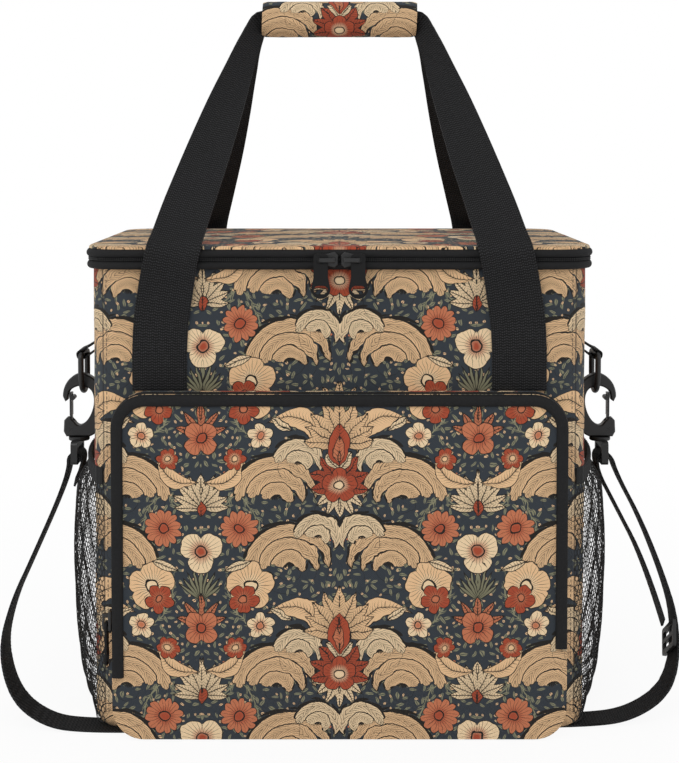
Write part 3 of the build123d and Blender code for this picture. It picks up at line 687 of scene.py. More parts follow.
def block(name, low, high, corner=0.0):
    """A box between two corners, its four upright edges rounded."""
    clear_selection()
    middle = [(a + b) / 2 for a, b in zip(low, high)]
    bpy.ops.mesh.primitive_cube_add(size=1, location=middle)
    obj = bpy.context.object
    obj.name = obj.data.name = name
    obj.scale = [b - a for a, b in zip(low, high)]
    bpy.ops.object.transform_apply(location=True, rotation=False, scale=True)
    if corner:
        round_off(obj, lambda a, b: abs((b - a).normalized().z) > 0.99, corner, 8)
    return obj


def pick(obj, kind, wanted):
    """Selects edges by wanted(end, end), or faces by wanted(centre, normal), in edit mode."""
    bpy.context.view_layer.objects.active = obj
    bpy.ops.object.mode_set(mode="EDIT")
    bpy.ops.mesh.select_mode(type=kind)
    bpy.ops.mesh.select_all(action="DESELECT")
    shape = bmesh.from_edit_mesh(obj.data)
    if kind == "EDGE":
        parts = [(edge, [v.co for v in edge.verts]) for edge in shape.edges]
    else:
        parts = [(face, (face.calc_center_median(), face.normal)) for face in shape.faces]
    for part, seen in parts:
        part.select_set(bool(wanted(*seen)))
    bmesh.update_edit_mesh(obj.data)


def round_off(obj, wanted, radius, steps):
    """Rounds the edges that wanted(end, end) accepts."""
    pick(obj, "EDGE", wanted)
    bpy.ops.mesh.bevel(offset=radius, segments=steps, affect="EDGES")
    bpy.ops.object.mode_set(mode="OBJECT")


def slices(obj, axis, low, high, count):
    """Cuts the mesh by planes across an axis, so that it can bend."""
    bpy.context.view_layer.objects.active = obj
    bpy.ops.object.mode_set(mode="EDIT")
    for step in range(1, count):
        at = [0.0, 0.0, 0.0]
        at[axis] = low + (high - low) * step / count
        normal = [0.0, 0.0, 0.0]
        normal[axis] = 1.0
        bpy.ops.mesh.select_all(action="SELECT")
        bpy.ops.mesh.bisect(plane_co=at, plane_no=normal)
    bpy.ops.object.mode_set(mode="OBJECT")


def modifier(obj, kind, **settings):
    """Adds a modifier and applies it."""
    activate(obj)
    made = obj.modifiers.new(kind.lower(), kind)
    for key, value in settings.items():
        setattr(made, key, value)
    bpy.ops.object.modifier_apply(modifier=made.name)


def map_cloth(obj, where):
    """Writes the piece's own map: where(point, face middle, face normal) gives metres across and along."""
    mesh = obj.data
    layer = mesh.uv_layers.get("cloth") or mesh.uv_layers.new(name="cloth")
    for face in mesh.polygons:
        for index in face.loop_indices:
            point = mesh.vertices[mesh.loops[index].vertex_index].co
            layer.data[index].uv = where(point, face.center, face.normal)
    mesh.uv_layers.active = layer


def smooth(obj, angle=50):
    activate(obj)
    bpy.ops.object.shade_smooth_by_angle(angle=math.radians(angle))
    return obj


def thicken(obj, thick, edge):
    """Gives a flat band of webbing its thickness and soft edges."""
    modifier(obj, "SOLIDIFY", thickness=thick, offset=0.0)
    modifier(obj, "BEVEL", width=edge, segments=2, limit_method="ANGLE")
    return smooth(obj)


def dress(obj, kind, body, slot, *nodes):
    """Gives a piece its finish and its body, and hides the solids that it stands for."""
    obj.data.materials.clear()
    obj.data.materials.append(finish(kind))
    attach(obj, body)
    if nodes:
        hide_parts(*nodes)
    return obj


def from_points(name, points, faces):
    """An object made of the given points and faces, with its cloth map."""
    mesh = bpy.data.meshes.new(name)
    mesh.from_pydata(points, [], faces)
    obj = bpy.data.objects.new(name, mesh)
    bpy.context.scene.collection.objects.link(obj)
    mesh.uv_layers.new(name="cloth")
    return obj


def zip_teeth(name, teeth):
    """Zip teeth as one piece: each has its middle, its long and outward axes, and its sizes along them."""
    clear_selection()
    bpy.ops.mesh.primitive_uv_sphere_add(segments=6, ring_count=5, radius=0.5)
    model = bpy.context.object
    corners = [v.co.copy() for v in model.data.vertices]
    faces = [tuple(face.vertices) for face in model.data.polygons]
    points, polygons = [], []
    for spot, lean, out, long, deep in teeth:
        turn = Matrix((out.cross(lean) * TOOTH_WIDE, lean * long, out * deep)).transposed().to_4x4()
        place = Matrix.Translation(spot) @ turn
        polygons += [tuple(len(points) + i for i in face) for face in faces]
        points += [place @ corner for corner in corners]
    obj = from_points(name, points, polygons)
    for face in obj.data.polygons:
        face.use_smooth = True
    bpy.data.objects.remove(model)
    return dress(obj, "coil", "bag", "zip_coil")


def smooth_path(points, count):
    """Points on a smooth line through the given ones."""
    points = [Vector(p) for p in points]
    line = []
    for step in range(count + 1):
        at = step / count * (len(points) - 1)
        i = min(int(at), len(points) - 2)
        t = at - i
        a, b = points[max(i - 1, 0)], points[i]
        c, d = points[i + 1], points[min(i + 2, len(points) - 1)]
        line.append(
            0.5 * ((2 * b) + (c - a) * t + (2 * a - 5 * b + 4 * c - d) * t * t
                   + (3 * b - a - 3 * c + d) * t * t * t)
        )
    return line


class Run:
    """A path of points that is read by the length along it."""

    def __init__(self, points):
        self.reach = [0.0]
        for a, b in zip(points, points[1:]):
            self.reach.append(self.reach[-1] + (b - a).length)
        self.length = self.reach[-1]

    def find(self, at):
        """The point that ends the stretch at this length, and the share of the stretch that is run."""
        reach = self.reach
        i = max(1, next((k for k, r in enumerate(reach) if r >= at), len(reach) - 1))
        return i, (at - reach[i - 1]) / max(1e-9, reach[i] - reach[i - 1])


def rounded(s, proud=0.0):
    """A point and the outward normal on the bag's plan, s metres from the middle of the front."""
    radius = CORNER + proud
    runs = [CORNER_X, math.pi / 2 * CORNER, 2 * CORNER_Y, math.pi / 2 * CORNER, 2 * CORNER_X,
            math.pi / 2 * CORNER, 2 * CORNER_Y, math.pi / 2 * CORNER, CORNER_X]
    corners = {1: (CORNER_X, -CORNER_Y, -90), 3: (CORNER_X, CORNER_Y, 0),
               5: (-CORNER_X, CORNER_Y, 90), 7: (-CORNER_X, -CORNER_Y, 180)}
    s = s % sum(runs)
    for i, run in enumerate(runs):
        if s <= run or i == 8:
            break
        s -= run
    if i in corners:
        x, y, start = corners[i]
        turn = math.radians(start + 90 * s / run)
        out = Vector((math.cos(turn), math.sin(turn), 0))
        return Vector((x, y, 0)) + out * radius, out
    if i == 0:
        return Vector((s, -HALF_D - proud, 0)), Vector((0, -1, 0))
    if i == 2:
        return Vector((HALF_W + proud, -CORNER_Y + s, 0)), Vector((1, 0, 0))
    if i == 4:
        return Vector((CORNER_X - s, HALF_D + proud, 0)), Vector((0, 1, 0))
    if i == 6:
        return Vector((-HALF_W - proud, CORNER_Y - s, 0)), Vector((-1, 0, 0))
    return Vector((-CORNER_X + s, -HALF_D - proud, 0)), Vector((0, -1, 0))


PERIMETER = 4 * CORNER_X + 4 * CORNER_Y + 2 * math.pi * CORNER


def plan_length(point):
    """How far round the plan a point lies from the middle of the front, signed, in metres."""
    x, y = abs(point.x), point.y
    arc = math.pi / 2 * CORNER
    if y < -CORNER_Y and x <= CORNER_X:
        s = x
    elif y < -CORNER_Y:
        s = CORNER_X + CORNER * math.atan2(x - CORNER_X, -CORNER_Y - y)
    elif y <= CORNER_Y and x > CORNER_X * 0.9:
        s = CORNER_X + arc + y + CORNER_Y
    elif x > CORNER_X:
        s = CORNER_X + arc + 2 * CORNER_Y + CORNER * math.atan2(y - CORNER_Y, x - CORNER_X)
    else:
        s = CORNER_X + 2 * arc + 2 * CORNER_Y + CORNER_X - x
    return s


def soft_noise(point, size, seed=0.0):
    return noise.noise(Vector(point) / size + Vector((seed, seed * 0.7, seed * 1.3)))


# Pieces
def swell_wall(point):
    """How the padded walls swell between the seams and dent here and there, outward in metres."""
    look = fabrics()
    rise = max(0.0, math.sin(math.pi * min(1, max(0, point.z / TOP))))
    span_x = max(0.0, math.cos(math.pi / 2 * min(1, abs(point.x) / CORNER_X)))
    span_y = max(0.0, math.cos(math.pi / 2 * min(1, abs(point.y) / CORNER_Y)))
    face = span_x if abs(point.y) > CORNER_Y else span_y
    dents = soft_noise(point, 0.055) * 0.6 + soft_noise(point, 0.022, 4.0) * 0.4
    return look.swell * rise * face ** 0.5 + look.wrinkle * dents * rise ** 0.5


class BAG_OT_shell(bpy.types.Operator):
    """Builds the printed shell: a lofted soft box that swells between its seams"""

    bl_idname = "bag.shell"
    bl_label = "Shell"

    def execute(self, context):
        low = (-HALF_W, -HALF_D, BASE_LOW[2])
        obj = block("bag_shell", low, (HALF_W, HALF_D, TOP), CORNER)
        round_off(obj, lambda a, b: max(a.z, b.z) < BASE_LOW[2] + 1e-5, 0.010, 5)
        pick(obj, "FACE", lambda c, n: n.z > 0.9)
        bpy.ops.mesh.delete(type="FACE")
        bpy.ops.object.mode_set(mode="OBJECT")
        slices(obj, 2, 0.010, TOP, 30)
        slices(obj, 0, -CORNER_X, CORNER_X, 30)
        slices(obj, 1, -CORNER_Y, CORNER_Y, 20)
        map_cloth(obj, self.shell_map)
        for vertex in obj.data.vertices:
            point = vertex.co.copy()
            if point.z < BASE_LOW[2] + 1e-4 and abs(point.x) < CORNER_X and abs(point.y) < CORNER_Y:
                continue
            out = Vector((max(0, abs(point.x) - CORNER_X) * (1 if point.x > 0 else -1),
                          max(0, abs(point.y) - CORNER_Y) * (1 if point.y > 0 else -1), 0))
            if out.length < 1e-6:
                continue
            out.normalize()
            vertex.co += out * min(0.0028, swell_wall(point))
        modifier(obj, "SOLIDIFY", thickness=0.0022, offset=-1.0)
        smooth(obj)
        dress(obj, "print", "bag", "printed_fabric",
              "front_panel", "rear_panel", "left_side_panel", "right_side_panel", "base_panel")
        return {"FINISHED"}

    @staticmethod
    def shell_map(point, middle, normal):
        if normal.z < -0.75 and abs(middle.x) < HALF_W - 0.006 and abs(middle.y) < HALF_D - 0.006:
            return point.x, point.y
        side = 1 if middle.x > 0 else -1
        spot = Vector((point.x * side, point.y, point.z))
        if spot.x < 0:
            spot.x = 0.0
        return plan_length(spot) * side, point.z


class BAG_OT_lid(bpy.types.Operator):
    """Builds the printed lid with its soft crown"""

    bl_idname = "bag.lid"
    bl_label = "Lid"

    def execute(self, context):
        obj = block("lid_top", LID_LOW, LID_HIGH, CORNER + 0.0032)
        round_off(obj, lambda a, b: min(a.z, b.z) > LID_HIGH[2] - 1e-5, 0.0016, 3)
        slices(obj, 0, LID_LOW[0], LID_HIGH[0], 26)
        slices(obj, 1, LID_LOW[1], LID_HIGH[1], 18)
        map_cloth(obj, lambda p, m, n: (p.x, p.y + HALF_D + TOP))
        for vertex in obj.data.vertices:
            x, y = vertex.co.x / LID_HIGH[0], vertex.co.y / LID_HIGH[1]
            crown = max(0, 1 - x * x) * max(0, 1 - y * y)
            dents = soft_noise(vertex.co, 0.05, 2.0) * 0.0012 * min(1, crown * 4)
            if vertex.co.z > LID_LOW[2] + 0.0008:
                vertex.co.z += 0.0022 * crown + dents
        smooth(obj)
        dress(obj, "print", "bag", "printed_fabric", "lid_cover")
        return {"FINISHED"}


def rim_tube(name, profile, start, end, steps, z):
    """A tape round the bag's plan: profile gives (outward, upward) points round its section."""
    run = end - start
    count = len(profile)

    def place(s, t):
        around = profile[int(round(s * count)) % count]
        where, out = rounded(start + run * t)
        return where + out * around[0] + Vector((0, 0, z + around[1]))

    girth = sum((Vector(a) - Vector(b)).length for a, b in zip(profile, profile[1:] + profile[:1]))
    return grid(name, count, steps, place, (girth, run), close=True, caps=True)


def roll_profile(depth, proud, height):
    """A rounded tape section: flat at the back, rolled at the front."""
    points = [(-depth, 0.0), (proud - height * 0.42, 0.0)]
    for step in range(1, 8):
        turn = math.radians(-90 + 180 * step / 8)
        points.append((proud - height * 0.42 + height * 0.42 * math.cos(turn),
                       height / 2 + height / 2 * math.sin(turn)))
    points += [(proud - height * 0.42, height), (-depth, height)]
    return points


class BAG_OT_lid_zip(bpy.types.Operator):
    """Builds the zip round the lid: lower and upper tapes, coil and hinge"""

    bl_idname = "bag.lid_zip"
    bl_label = "Lid zip"

    def execute(self, context):
        rear = PERIMETER / 2 - 0.128
        proud = LOWER_HIGH[0] - HALF_W
        for level, low, high, reach in (("lower", LOWER_LOW[2], LOWER_HIGH[2], proud - 0.0004),
                                        ("upper", UPPER_LOW[2], UPPER_HIGH[2], proud)):
            obj = rim_tube(f"lid_zip_{level}_tape", roll_profile(ROLL_DEEP, reach, high - low),
                           -rear, rear, 260, low)
            for vertex in obj.data.vertices:
                vertex.co.z += soft_noise(vertex.co, 0.03, 7.0) * 0.0003
            dress(obj, "tape", "bag", "binding", f"{level}_zip_tape")
        hinge_h = UPPER_HIGH[2] - LOWER_LOW[2]
        hinge = rim_tube("lid_hinge_strip", roll_profile(ROLL_DEEP, 0.0018, hinge_h),
                         rear, PERIMETER - rear, 60, LOWER_LOW[2])
        dress(hinge, "tape", "bag", "binding", "lid_hinge")
        bed = [(-0.0005, 0.0), (0.0027, 0.0), (0.0027, 0.0026), (-0.0005, 0.0026)]
        base = rim_tube("lid_zip_coil_bed", bed, -rear, rear, 260, COIL_LOW[2] - 0.0001)
        dress(base, "tape", "bag", "binding", "main_zip_coil")
        teeth = []
        count = int(2 * rear / TOOTH_PITCH)
        middle = (COIL_LOW[2] + COIL_HIGH[2]) / 2
        for step in range(count):
            where, out = rounded(-rear + 2 * rear * (step + 0.5) / count, 0.0031)
            tangent = Vector((-out.y, out.x, 0))
            for side in (-1, 1):
                lean = (Vector((0, 0, 1)) * side + tangent * 0.30).normalized()
                teeth.append((where + Vector((0, 0, middle + side * 0.0006)), lean, out, 0.0018, 0.0013))
        zip_teeth("lid_zip_teeth", teeth)
        return {"FINISHED"}


class BAG_OT_handles(bpy.types.Operator):
    """Builds the two webbing handles up to the grip"""

    bl_idname = "bag.handles"
    bl_label = "Handles"

    STATIONS = [
        (-124.8, -116.3, 268.0, 38.0, 0.0), (-123.6, -116.8, 290.0, 38.0, 0.0),
        (-120.2, -119.0, 312.0, 38.0, 0.0), (-116.2, -122.9, 333.0, 37.0, 0.0),
        (-113.8, -121.4, 343.0, 37.0, 0.0), (-110.8, -111.6, 354.0, 36.0, 0.02),
        (-104.8, -98.0, 374.0, 35.0, 0.05), (-94.0, -73.0, 408.0, 32.0, 0.12),
        (-83.6, -48.0, 441.0, 27.0, 0.25), (-74.0, -26.0, 470.0, 21.0, 0.45),
        (-67.0, -11.0, 490.0, 18.5, 0.75), (-60.2, -3.4, 504.0, 17.0, 1.0),
        (-52.0, -2.9, 505.4, 16.5, 1.0), (-46.0, -2.9, 505.4, 16.5, 1.0),
    ]

    def execute(self, context):
        self.leg("front_handle", -1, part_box("front_handle")[0][2])
        self.leg("rear_handle", 1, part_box("rear_handle")[0][2])
        return {"FINISHED"}

    def leg(self, node, face, foot):
        points = [Vector(s[:3]) * MM for s in self.STATIONS]
        steps = 96
        middles = smooth_path(points, steps)
        widths = smooth_path([(s[3], s[4], 0) for s in self.STATIONS], steps)
        drop = middles[0].z - foot
        rise = Run(middles)
        run = drop + rise.length
        legs = []
        for side in (-1, 1):

            def place(s, t, side=side):
                at = t * run
                off = s - 0.5
                if at < drop:
                    return Vector((-side * (middles[0].x + off * WEB_WIDE), face * WEB_FACE, foot + at))
                i, share = rise.find(at - drop)
                share = min(1.0, max(0.0, share))
                spot = middles[i - 1].lerp(middles[i], share)
                wide, roll, _ = widths[i - 1].lerp(widths[i], share)
                along = (middles[i] - middles[i - 1]).normalized()
                across = Vector((1 - roll, 0, -roll))
                across = (across - along * across.dot(along)).normalized()
                flat = along.cross(across)
                climb = min(1, (at - drop) / rise.length)
                cup = (0.25 - off * off) * 0.010 * max(0.0, math.sin(math.pi * climb))
                spot = spot + across * (off * wide * MM) + flat * cup
                return Vector((-side * spot.x, -face * spot.y, spot.z))

            name = f"{node}_{'left' if side == 1 else 'right'}_leg"
            obj = grid(name, 10, 150, place, (WEB_WIDE, run))
            legs.append(thicken(obj, WEB_THICK, 0.0005))
        for obj in legs:
            dress(obj, "webbing", "bag", "webbing", node)


class BAG_OT_grip(bpy.types.Operator):
    """Builds the printed wrap that holds the handles together"""

    bl_idname = "bag.grip"
    bl_label = "Grip wrap"

    def execute(self, context):
        middle = (Vector(GRIP_LOW) + Vector(GRIP_HIGH)) / 2
        half = (Vector(GRIP_HIGH) - Vector(GRIP_LOW)) / 2
        girth = math.pi * (half.y + half.z)

        def place(s, t):
            turn = 2 * math.pi * s - math.pi / 2
            x = (2 * t - 1) * half.x
            end = min(1.0, (1 - abs(2 * t - 1)) * half.x / 0.004)
            swell = 0.93 + 0.07 * math.sin(math.pi / 2 * end)
            lump = 1 + 0.018 * noise.noise(Vector((x * 60, math.cos(turn), math.sin(turn))))
            bow = 0.0012 * math.cos(math.pi * t * 2)
            y = half.y * math.cos(turn) * swell * lump * 0.985
            z = half.z * math.sin(turn) * swell * lump * 0.985
            return Vector((x + bow * math.sin(turn) * 0.4, middle.y + y, middle.z + z))

        obj = grid("grip_wrap_cloth", 48, 72, place, (girth, 2 * half.x), close=True)
        modifier(obj, "SOLIDIFY", thickness=0.0022, offset=-1.0)
        mesh = obj.data
        layer = mesh.uv_layers["cloth"]
        for face in mesh.polygons:
            for index in face.loop_indices:
                point = mesh.vertices[mesh.loops[index].vertex_index].co
                angle = math.atan2(point.z - middle.z, abs(point.y - middle.y) + 1e-6)
                layer.data[index].uv = (point.x, angle * (half.y + half.z) / 2 + 0.066)
        smooth(obj)
        dress(obj, "print", "bag", "printed_fabric", "grip_wrap")
        return {"FINISHED"}


class PocketOutline:
    """The front pocket's rounded outline, measured from the middle of its foot."""

    half = POCKET_HIGH[0]
    low, high = POCKET_LOW[2], POCKET_HIGH[2]
    # Radii of the upper and the lower corners
    top_r, foot_r = 0.024, 0.022

    def __init__(self):
        h, lo, hi, tr, fr = self.half, self.low, self.high, self.top_r, self.foot_r
        self.points = []

        def arc(cx, cz, r, a0, a1, n=14):
            for k in range(n + 1):
                a = math.radians(a0 + (a1 - a0) * k / n)
                self.points.append(((cx + r * math.cos(a), cz + r * math.sin(a)), (math.cos(a), math.sin(a))))

        self.points.append(((0.0, lo), (0.0, -1.0)))
        arc(h - fr, lo + fr, fr, -90, 0)
        arc(h - tr, hi - tr, tr, 0, 90)
        arc(-h + tr, hi - tr, tr, 90, 180)
        arc(-h + fr, lo + fr, fr, 180, 270)
        self.points.append(((0.0, lo), (0.0, -1.0)))
        self.reach = [0.0]
        for (a, _), (b, _) in zip(self.points, self.points[1:]):
            self.reach.append(self.reach[-1] + math.dist(a, b))
        self.length = self.reach[-1]

    def at(self, s):
        s = min(max(s, 0.0), self.length)
        i = next(k for k, r in enumerate(self.reach) if r >= s - 1e-9)
        i = max(i, 1)
        (a, na), (b, nb) = self.points[i - 1], self.points[i]
        t = (s - self.reach[i - 1]) / max(1e-9, self.reach[i] - self.reach[i - 1])
        spot = Vector((a[0] + (b[0] - a[0]) * t, 0, a[1] + (b[1] - a[1]) * t))
        out = Vector((na[0] + (nb[0] - na[0]) * t, 0, na[1] + (nb[1] - na[1]) * t)).normalized()
        return spot, out

    def height_reach(self, z, side):
        """How far along the outline the given height is reached, on one side."""
        best = None
        for k in range(2000):
            s = self.length * k / 2000
            spot, _ = self.at(s)
            if spot.x * side > self.half * 0.8 and abs(spot.z - z) < 0.0015:
                best = s if best is None or side > 0 and s < best or side < 0 and s > best else best
        return best


def outline_tube(name, outline, profile, start, end, steps, kind, slot, *nodes, caps=True):
    """A band along the pocket's outline: profile gives (outward, y) points round its section."""
    count = len(profile)

    def place(s, t):
        outward, y = profile[int(round(s * count)) % count]
        spot, out = outline.at(start + (end - start) * t)
        return Vector((spot.x, y, spot.z)) + out * outward

    girth = sum(math.dist(a, b) for a, b in zip(profile, profile[1:] + profile[:1]))
    obj = grid(name, count, steps, place, (girth, abs(end - start)), close=True, caps=caps)
    smooth(obj, 55)
    return dress(obj, kind, "bag", slot, *nodes)


def backed(*front):
    """A band's section: its outer points, closed along the inside."""
    return [*front, (-TAPE_DEEP, front[-1][1]), (-TAPE_DEEP, front[0][1])]


class BAG_OT_pocket(bpy.types.Operator):
    """Builds the front pocket: padded panel, gusset, zip and binding"""

    bl_idname = "bag.pocket"
    bl_label = "Front pocket"

    def execute(self, context):
        back, front = POCKET_HIGH[1], POCKET_LOW[1]
        outline = PocketOutline()
        panel = block("pocket_front", POCKET_LOW, POCKET_HIGH)
        round_off(panel, lambda a, b: abs((b - a).normalized().y) > 0.99 and a.z > 0.1, outline.top_r, 10)
        round_off(panel, lambda a, b: abs((b - a).normalized().y) > 0.99 and max(a.z, b.z) < 0.005,
                  outline.foot_r, 10)
        slices(panel, 0, POCKET_LOW[0], POCKET_HIGH[0], 40)
        slices(panel, 2, POCKET_LOW[2], POCKET_HIGH[2], 32)
        middle_z = (POCKET_LOW[2] + POCKET_HIGH[2]) / 2
        for vertex in panel.data.vertices:
            if vertex.co.y < front + 1e-4:
                x = vertex.co.x / POCKET_HIGH[0]
                z = (vertex.co.z - middle_z) / (POCKET_HIGH[2] - middle_z)
                dome = max(0, 1 - x ** 4) * max(0, 1 - z ** 4)
                dents = soft_noise(vertex.co, 0.06, 5.0) * 0.0010 + soft_noise(vertex.co, 0.02, 9.0) * 0.0004
                vertex.co.y -= 0.0030 * dome + dents * min(1, dome * 3)
        map_cloth(panel, lambda p, m, n: (p.x, p.z + 0.008))
        smooth(panel)
        dress(panel, "print", "bag", "printed_fabric", "pocket_panel")

        gusset_y = GUSSET_HIGH[1]
        tape_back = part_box("pocket_tape_rear")[1][1]
        bind_low, bind_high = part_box("pocket_binding")
        right_foot = outline.height_reach(bind_low[2] + 0.020, 1)
        left_foot = outline.height_reach(bind_low[2], -1)
        deep = backed((0.0, gusset_y), (0.0004, gusset_y - 0.003), (0.0, tape_back))
        outline_tube("pocket_gusset_cloth", outline, deep, 0.0, outline.length, 220,
                     "print", "printed_fabric", "pocket_gusset", caps=False)
        foot = backed((0.0, tape_back), (0.0, back - 0.0001))
        for name, start, end in (("pocket_foot_cloth", 0.0, right_foot),
                                 ("pocket_foot_cloth_left", left_foot, outline.length)):
            outline_tube(name, outline, foot, start, end, 60, "print", "printed_fabric")
        for node in ("pocket_tape_rear", "pocket_tape_front"):
            low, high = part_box(node)
            band = backed((0.0, high[1]), (0.0006, (low[1] + high[1]) / 2), (0.0, low[1]))
            outline_tube(node + "_cloth", outline, band, right_foot, left_foot, 200, "tape", "binding", node)
        low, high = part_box("pocket_zip_coil")
        bed = backed((-0.0002, high[1]), (-0.0002, low[1]))
        outline_tube("pocket_coil_bed", outline, bed, right_foot, left_foot, 200, "tape", "binding",
                     "pocket_zip_coil")
        teeth = []
        run = left_foot - right_foot
        count = int(run / TOOTH_PITCH)
        middle = (low[1] + high[1]) / 2
        for step in range(count):
            spot, out = outline.at(right_foot + run * (step + 0.5) / count)
            lean = (Vector((0, 1, 0)) + out.cross(Vector((0, 1, 0))) * 0.3).normalized()
            teeth.append((Vector((spot.x, middle, spot.z)) + out * 0.0001, lean, out, 0.0022, 0.0014))
        zip_teeth("pocket_zip_teeth", teeth)

        y0, y1 = bind_high[1], bind_low[1]
        wide = 0.0082
        band = [(0.0, y0 + 0.0004)]
        for step in range(0, 9):
            turn = math.pi * step / 8
            band.append((-wide / 2 + wide / 2 * math.cos(turn),
                         y0 - 0.0004 - (y0 - y1 + 0.0009) * math.sin(turn) ** 0.6))
        band.append((-wide, y0 + 0.0004))
        outline_tube("pocket_binding_roll", outline, band, right_foot, left_foot, 240, "binding", "binding",
                     "pocket_binding")
        return {"FINISHED"}


class BAG_OT_nets(bpy.types.Operator):
    """Builds the two net pockets with their elastic edges"""

    bl_idname = "bag.nets"
    bl_label = "Net pockets"

    LEVELS = [(4.4, 180.5), (16.0, 193.0), (46.0, 199.0), (104.0, 201.8), (156.0, 199.0), (174.1, 190.0)]

    def reach(self, z):
        levels = self.LEVELS
        line = smooth_path([(zz * MM, x * MM, 0) for zz, x in levels], 60)
        for a, b in zip(line, line[1:]):
            if a.x <= z <= b.x:
                return a.y + (b.y - a.y) * (z - a.x) / (b.x - a.x)
        return line[0].y if z < line[0].x else line[-1].y

    def level(self, reach, s, inward=0.0):
        """A point on the pocket's plan, s from -1 at the front seam to 1 at the rear one."""
        near = CORNER + 0.0009
        turn = 2 * math.atan((reach - HALF_W - 0.0009) / CORNER_Y)
        seam = math.radians(51)
        bow = (CORNER_Y + near * math.sin(turn)) / max(1e-6, math.sin(turn))
        corner_run = near * (seam - turn)
        bow_run = bow * turn
        total = corner_run + bow_run
        at = abs(s) * total
        if at < bow_run:
            a = at / bow
            x, y = reach - bow * (1 - math.cos(a)), bow * math.sin(a)
            out = Vector((math.cos(a), math.sin(a), 0))
        else:
            a = turn + (at - bow_run) / near
            x, y = CORNER_X + near * math.cos(a), CORNER_Y + near * math.sin(a)
            out = Vector((math.cos(a), math.sin(a), 0))
        spot = Vector((x, y, 0)) - out * inward
        if s < 0:
            spot.y, out.y = -spot.y, -out.y
        return spot, out, total

    def execute(self, context):
        for name, side in (("left", -1), ("right", 1)):
            self.net(name, side)
            self.elastic(name, side)
        return {"FINISHED"}

    def net(self, name, side):
        """Hexagonal cells of thin yarn on the pocket's swelling surface."""
        low, high = 0.0046, 0.1742
        pitch_s, pitch_z, yarn = 0.0042, 0.0036, 0.00062
        span = 2 * self.level(0.199, 1)[2]
        columns = int(span / pitch_s)
        rows = int((high - low) / pitch_z)
        points, faces, index = [], [], {}

        def corner(i, j, up):
            key = (i, j, up)
            if key not in index:
                s = -1 + i / columns
                z = low + (high - low) * (j + (1 / 6 if up else -1 / 6)) / rows
                z = min(max(z, low), high)
                s = min(max(s, -1), 1)
                sway = 0.0009 * math.sin(s * 31 + z * 90) * (1 - s * s)
                spot, out, _ = self.level(self.reach(z), s, 0.0005)
                spot = spot + out * sway
                index[key] = len(points)
                points.append(Vector((spot.x * side, spot.y, z)))
            return index[key]

        for j in range(rows):
            for i in range(columns):
                left = 2 * i + (j % 2)
                if left + 2 > 2 * columns:
                    continue
                cell = [corner(left + over, j + up, high) for over, up, high in
                        ((0, 0, True), (1, 0, False), (2, 0, True), (2, 1, False), (1, 1, True), (0, 1, False))]
                faces.append(cell if side > 0 else cell[::-1])
        obj = from_points(f"{name}_net", points, faces)
        modifier(obj, "WIREFRAME", thickness=yarn, use_even_offset=False, use_boundary=True)
        smooth(obj, 60)
        dress(obj, "net", "bag", "net", f"{name}_net_pocket")

    def elastic(self, name, side):
        low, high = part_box(f"{name}_pocket_elastic")
        top, foot = high[2], low[2]
        deep = 0.0022
        reach = max(abs(low[0]), abs(high[0]))
        profile = [(0.0, foot), (0.0003, foot + 0.002), (0.0001, (foot + top) / 2),
                   (0.0003, top - 0.002), (0.0, top), (-0.0011, top + 0.0002), (-deep, top), (-deep, foot)]
        count = len(profile)
        span = 2 * self.level(reach, 1)[2]

        def place(s, t):
            outward, z = profile[int(round(s * count)) % count]
            spot, out, _ = self.level(reach, 2 * t - 1)
            ruffle = 0.00045 * math.sin(t * span / 0.0062 * 2 * math.pi) * (1 - abs(2 * t - 1) ** 6)
            if outward < -0.002:
                ruffle = 0.0
            spot = spot + out * (outward + ruffle - 0.0002)
            return Vector((spot.x * side, spot.y, z + ruffle * 0.4))

        obj = grid(f"{name}_elastic", count, 260, place, (0.027, span), close=True, caps=True)
        smooth(obj, 60)
        dress(obj, "elastic", "bag", "binding", f"{name}_pocket_elastic")


class BAG_OT_tabs(bpy.types.Operator):
    """Builds the side tabs of webbing that hold the rings"""

    bl_idname = "bag.tabs"
    bl_label = "Side tabs"

    def execute(self, context):
        for name, side in (("left", -1), ("right", 1)):
            ring, bar = 0.1963, 0.2524
            wrap = 0.0033
            wall = HALF_W + 0.0011
            route = [(wall + 0.0018, 0.292), (wall + 0.0018, 0.284), (wall + 0.0018, 0.276),
                     (wall + 0.0064, 0.2660), (ring - 0.0035, 0.2575),
                     (ring + 0.0022, 0.2547), (ring + wrap, bar),
                     (ring + 0.0020, bar - 0.0028), (ring - 0.0023, bar - 0.0024), (ring - 0.012, 0.2575),
                     (wall + 0.0012, 0.268), (wall, 0.280), (wall, 0.292)]
            line = smooth_path([(x, 0, z) for x, z in route], 60)

            def place(s, t, line=line, side=side):
                spot = line[int(round(t * 60))]
                return Vector((spot.x * side, (s - 0.5) * TAB_WIDE, spot.z))

            obj = grid(f"{name}_tab_webbing", 6, 60, place, (TAB_WIDE, 0.09))
            thicken(obj, TAB_THICK, 0.0004)
            dress(obj, "strap", "bag", "webbing", f"{name}_side_tab")
        return {"FINISHED"}


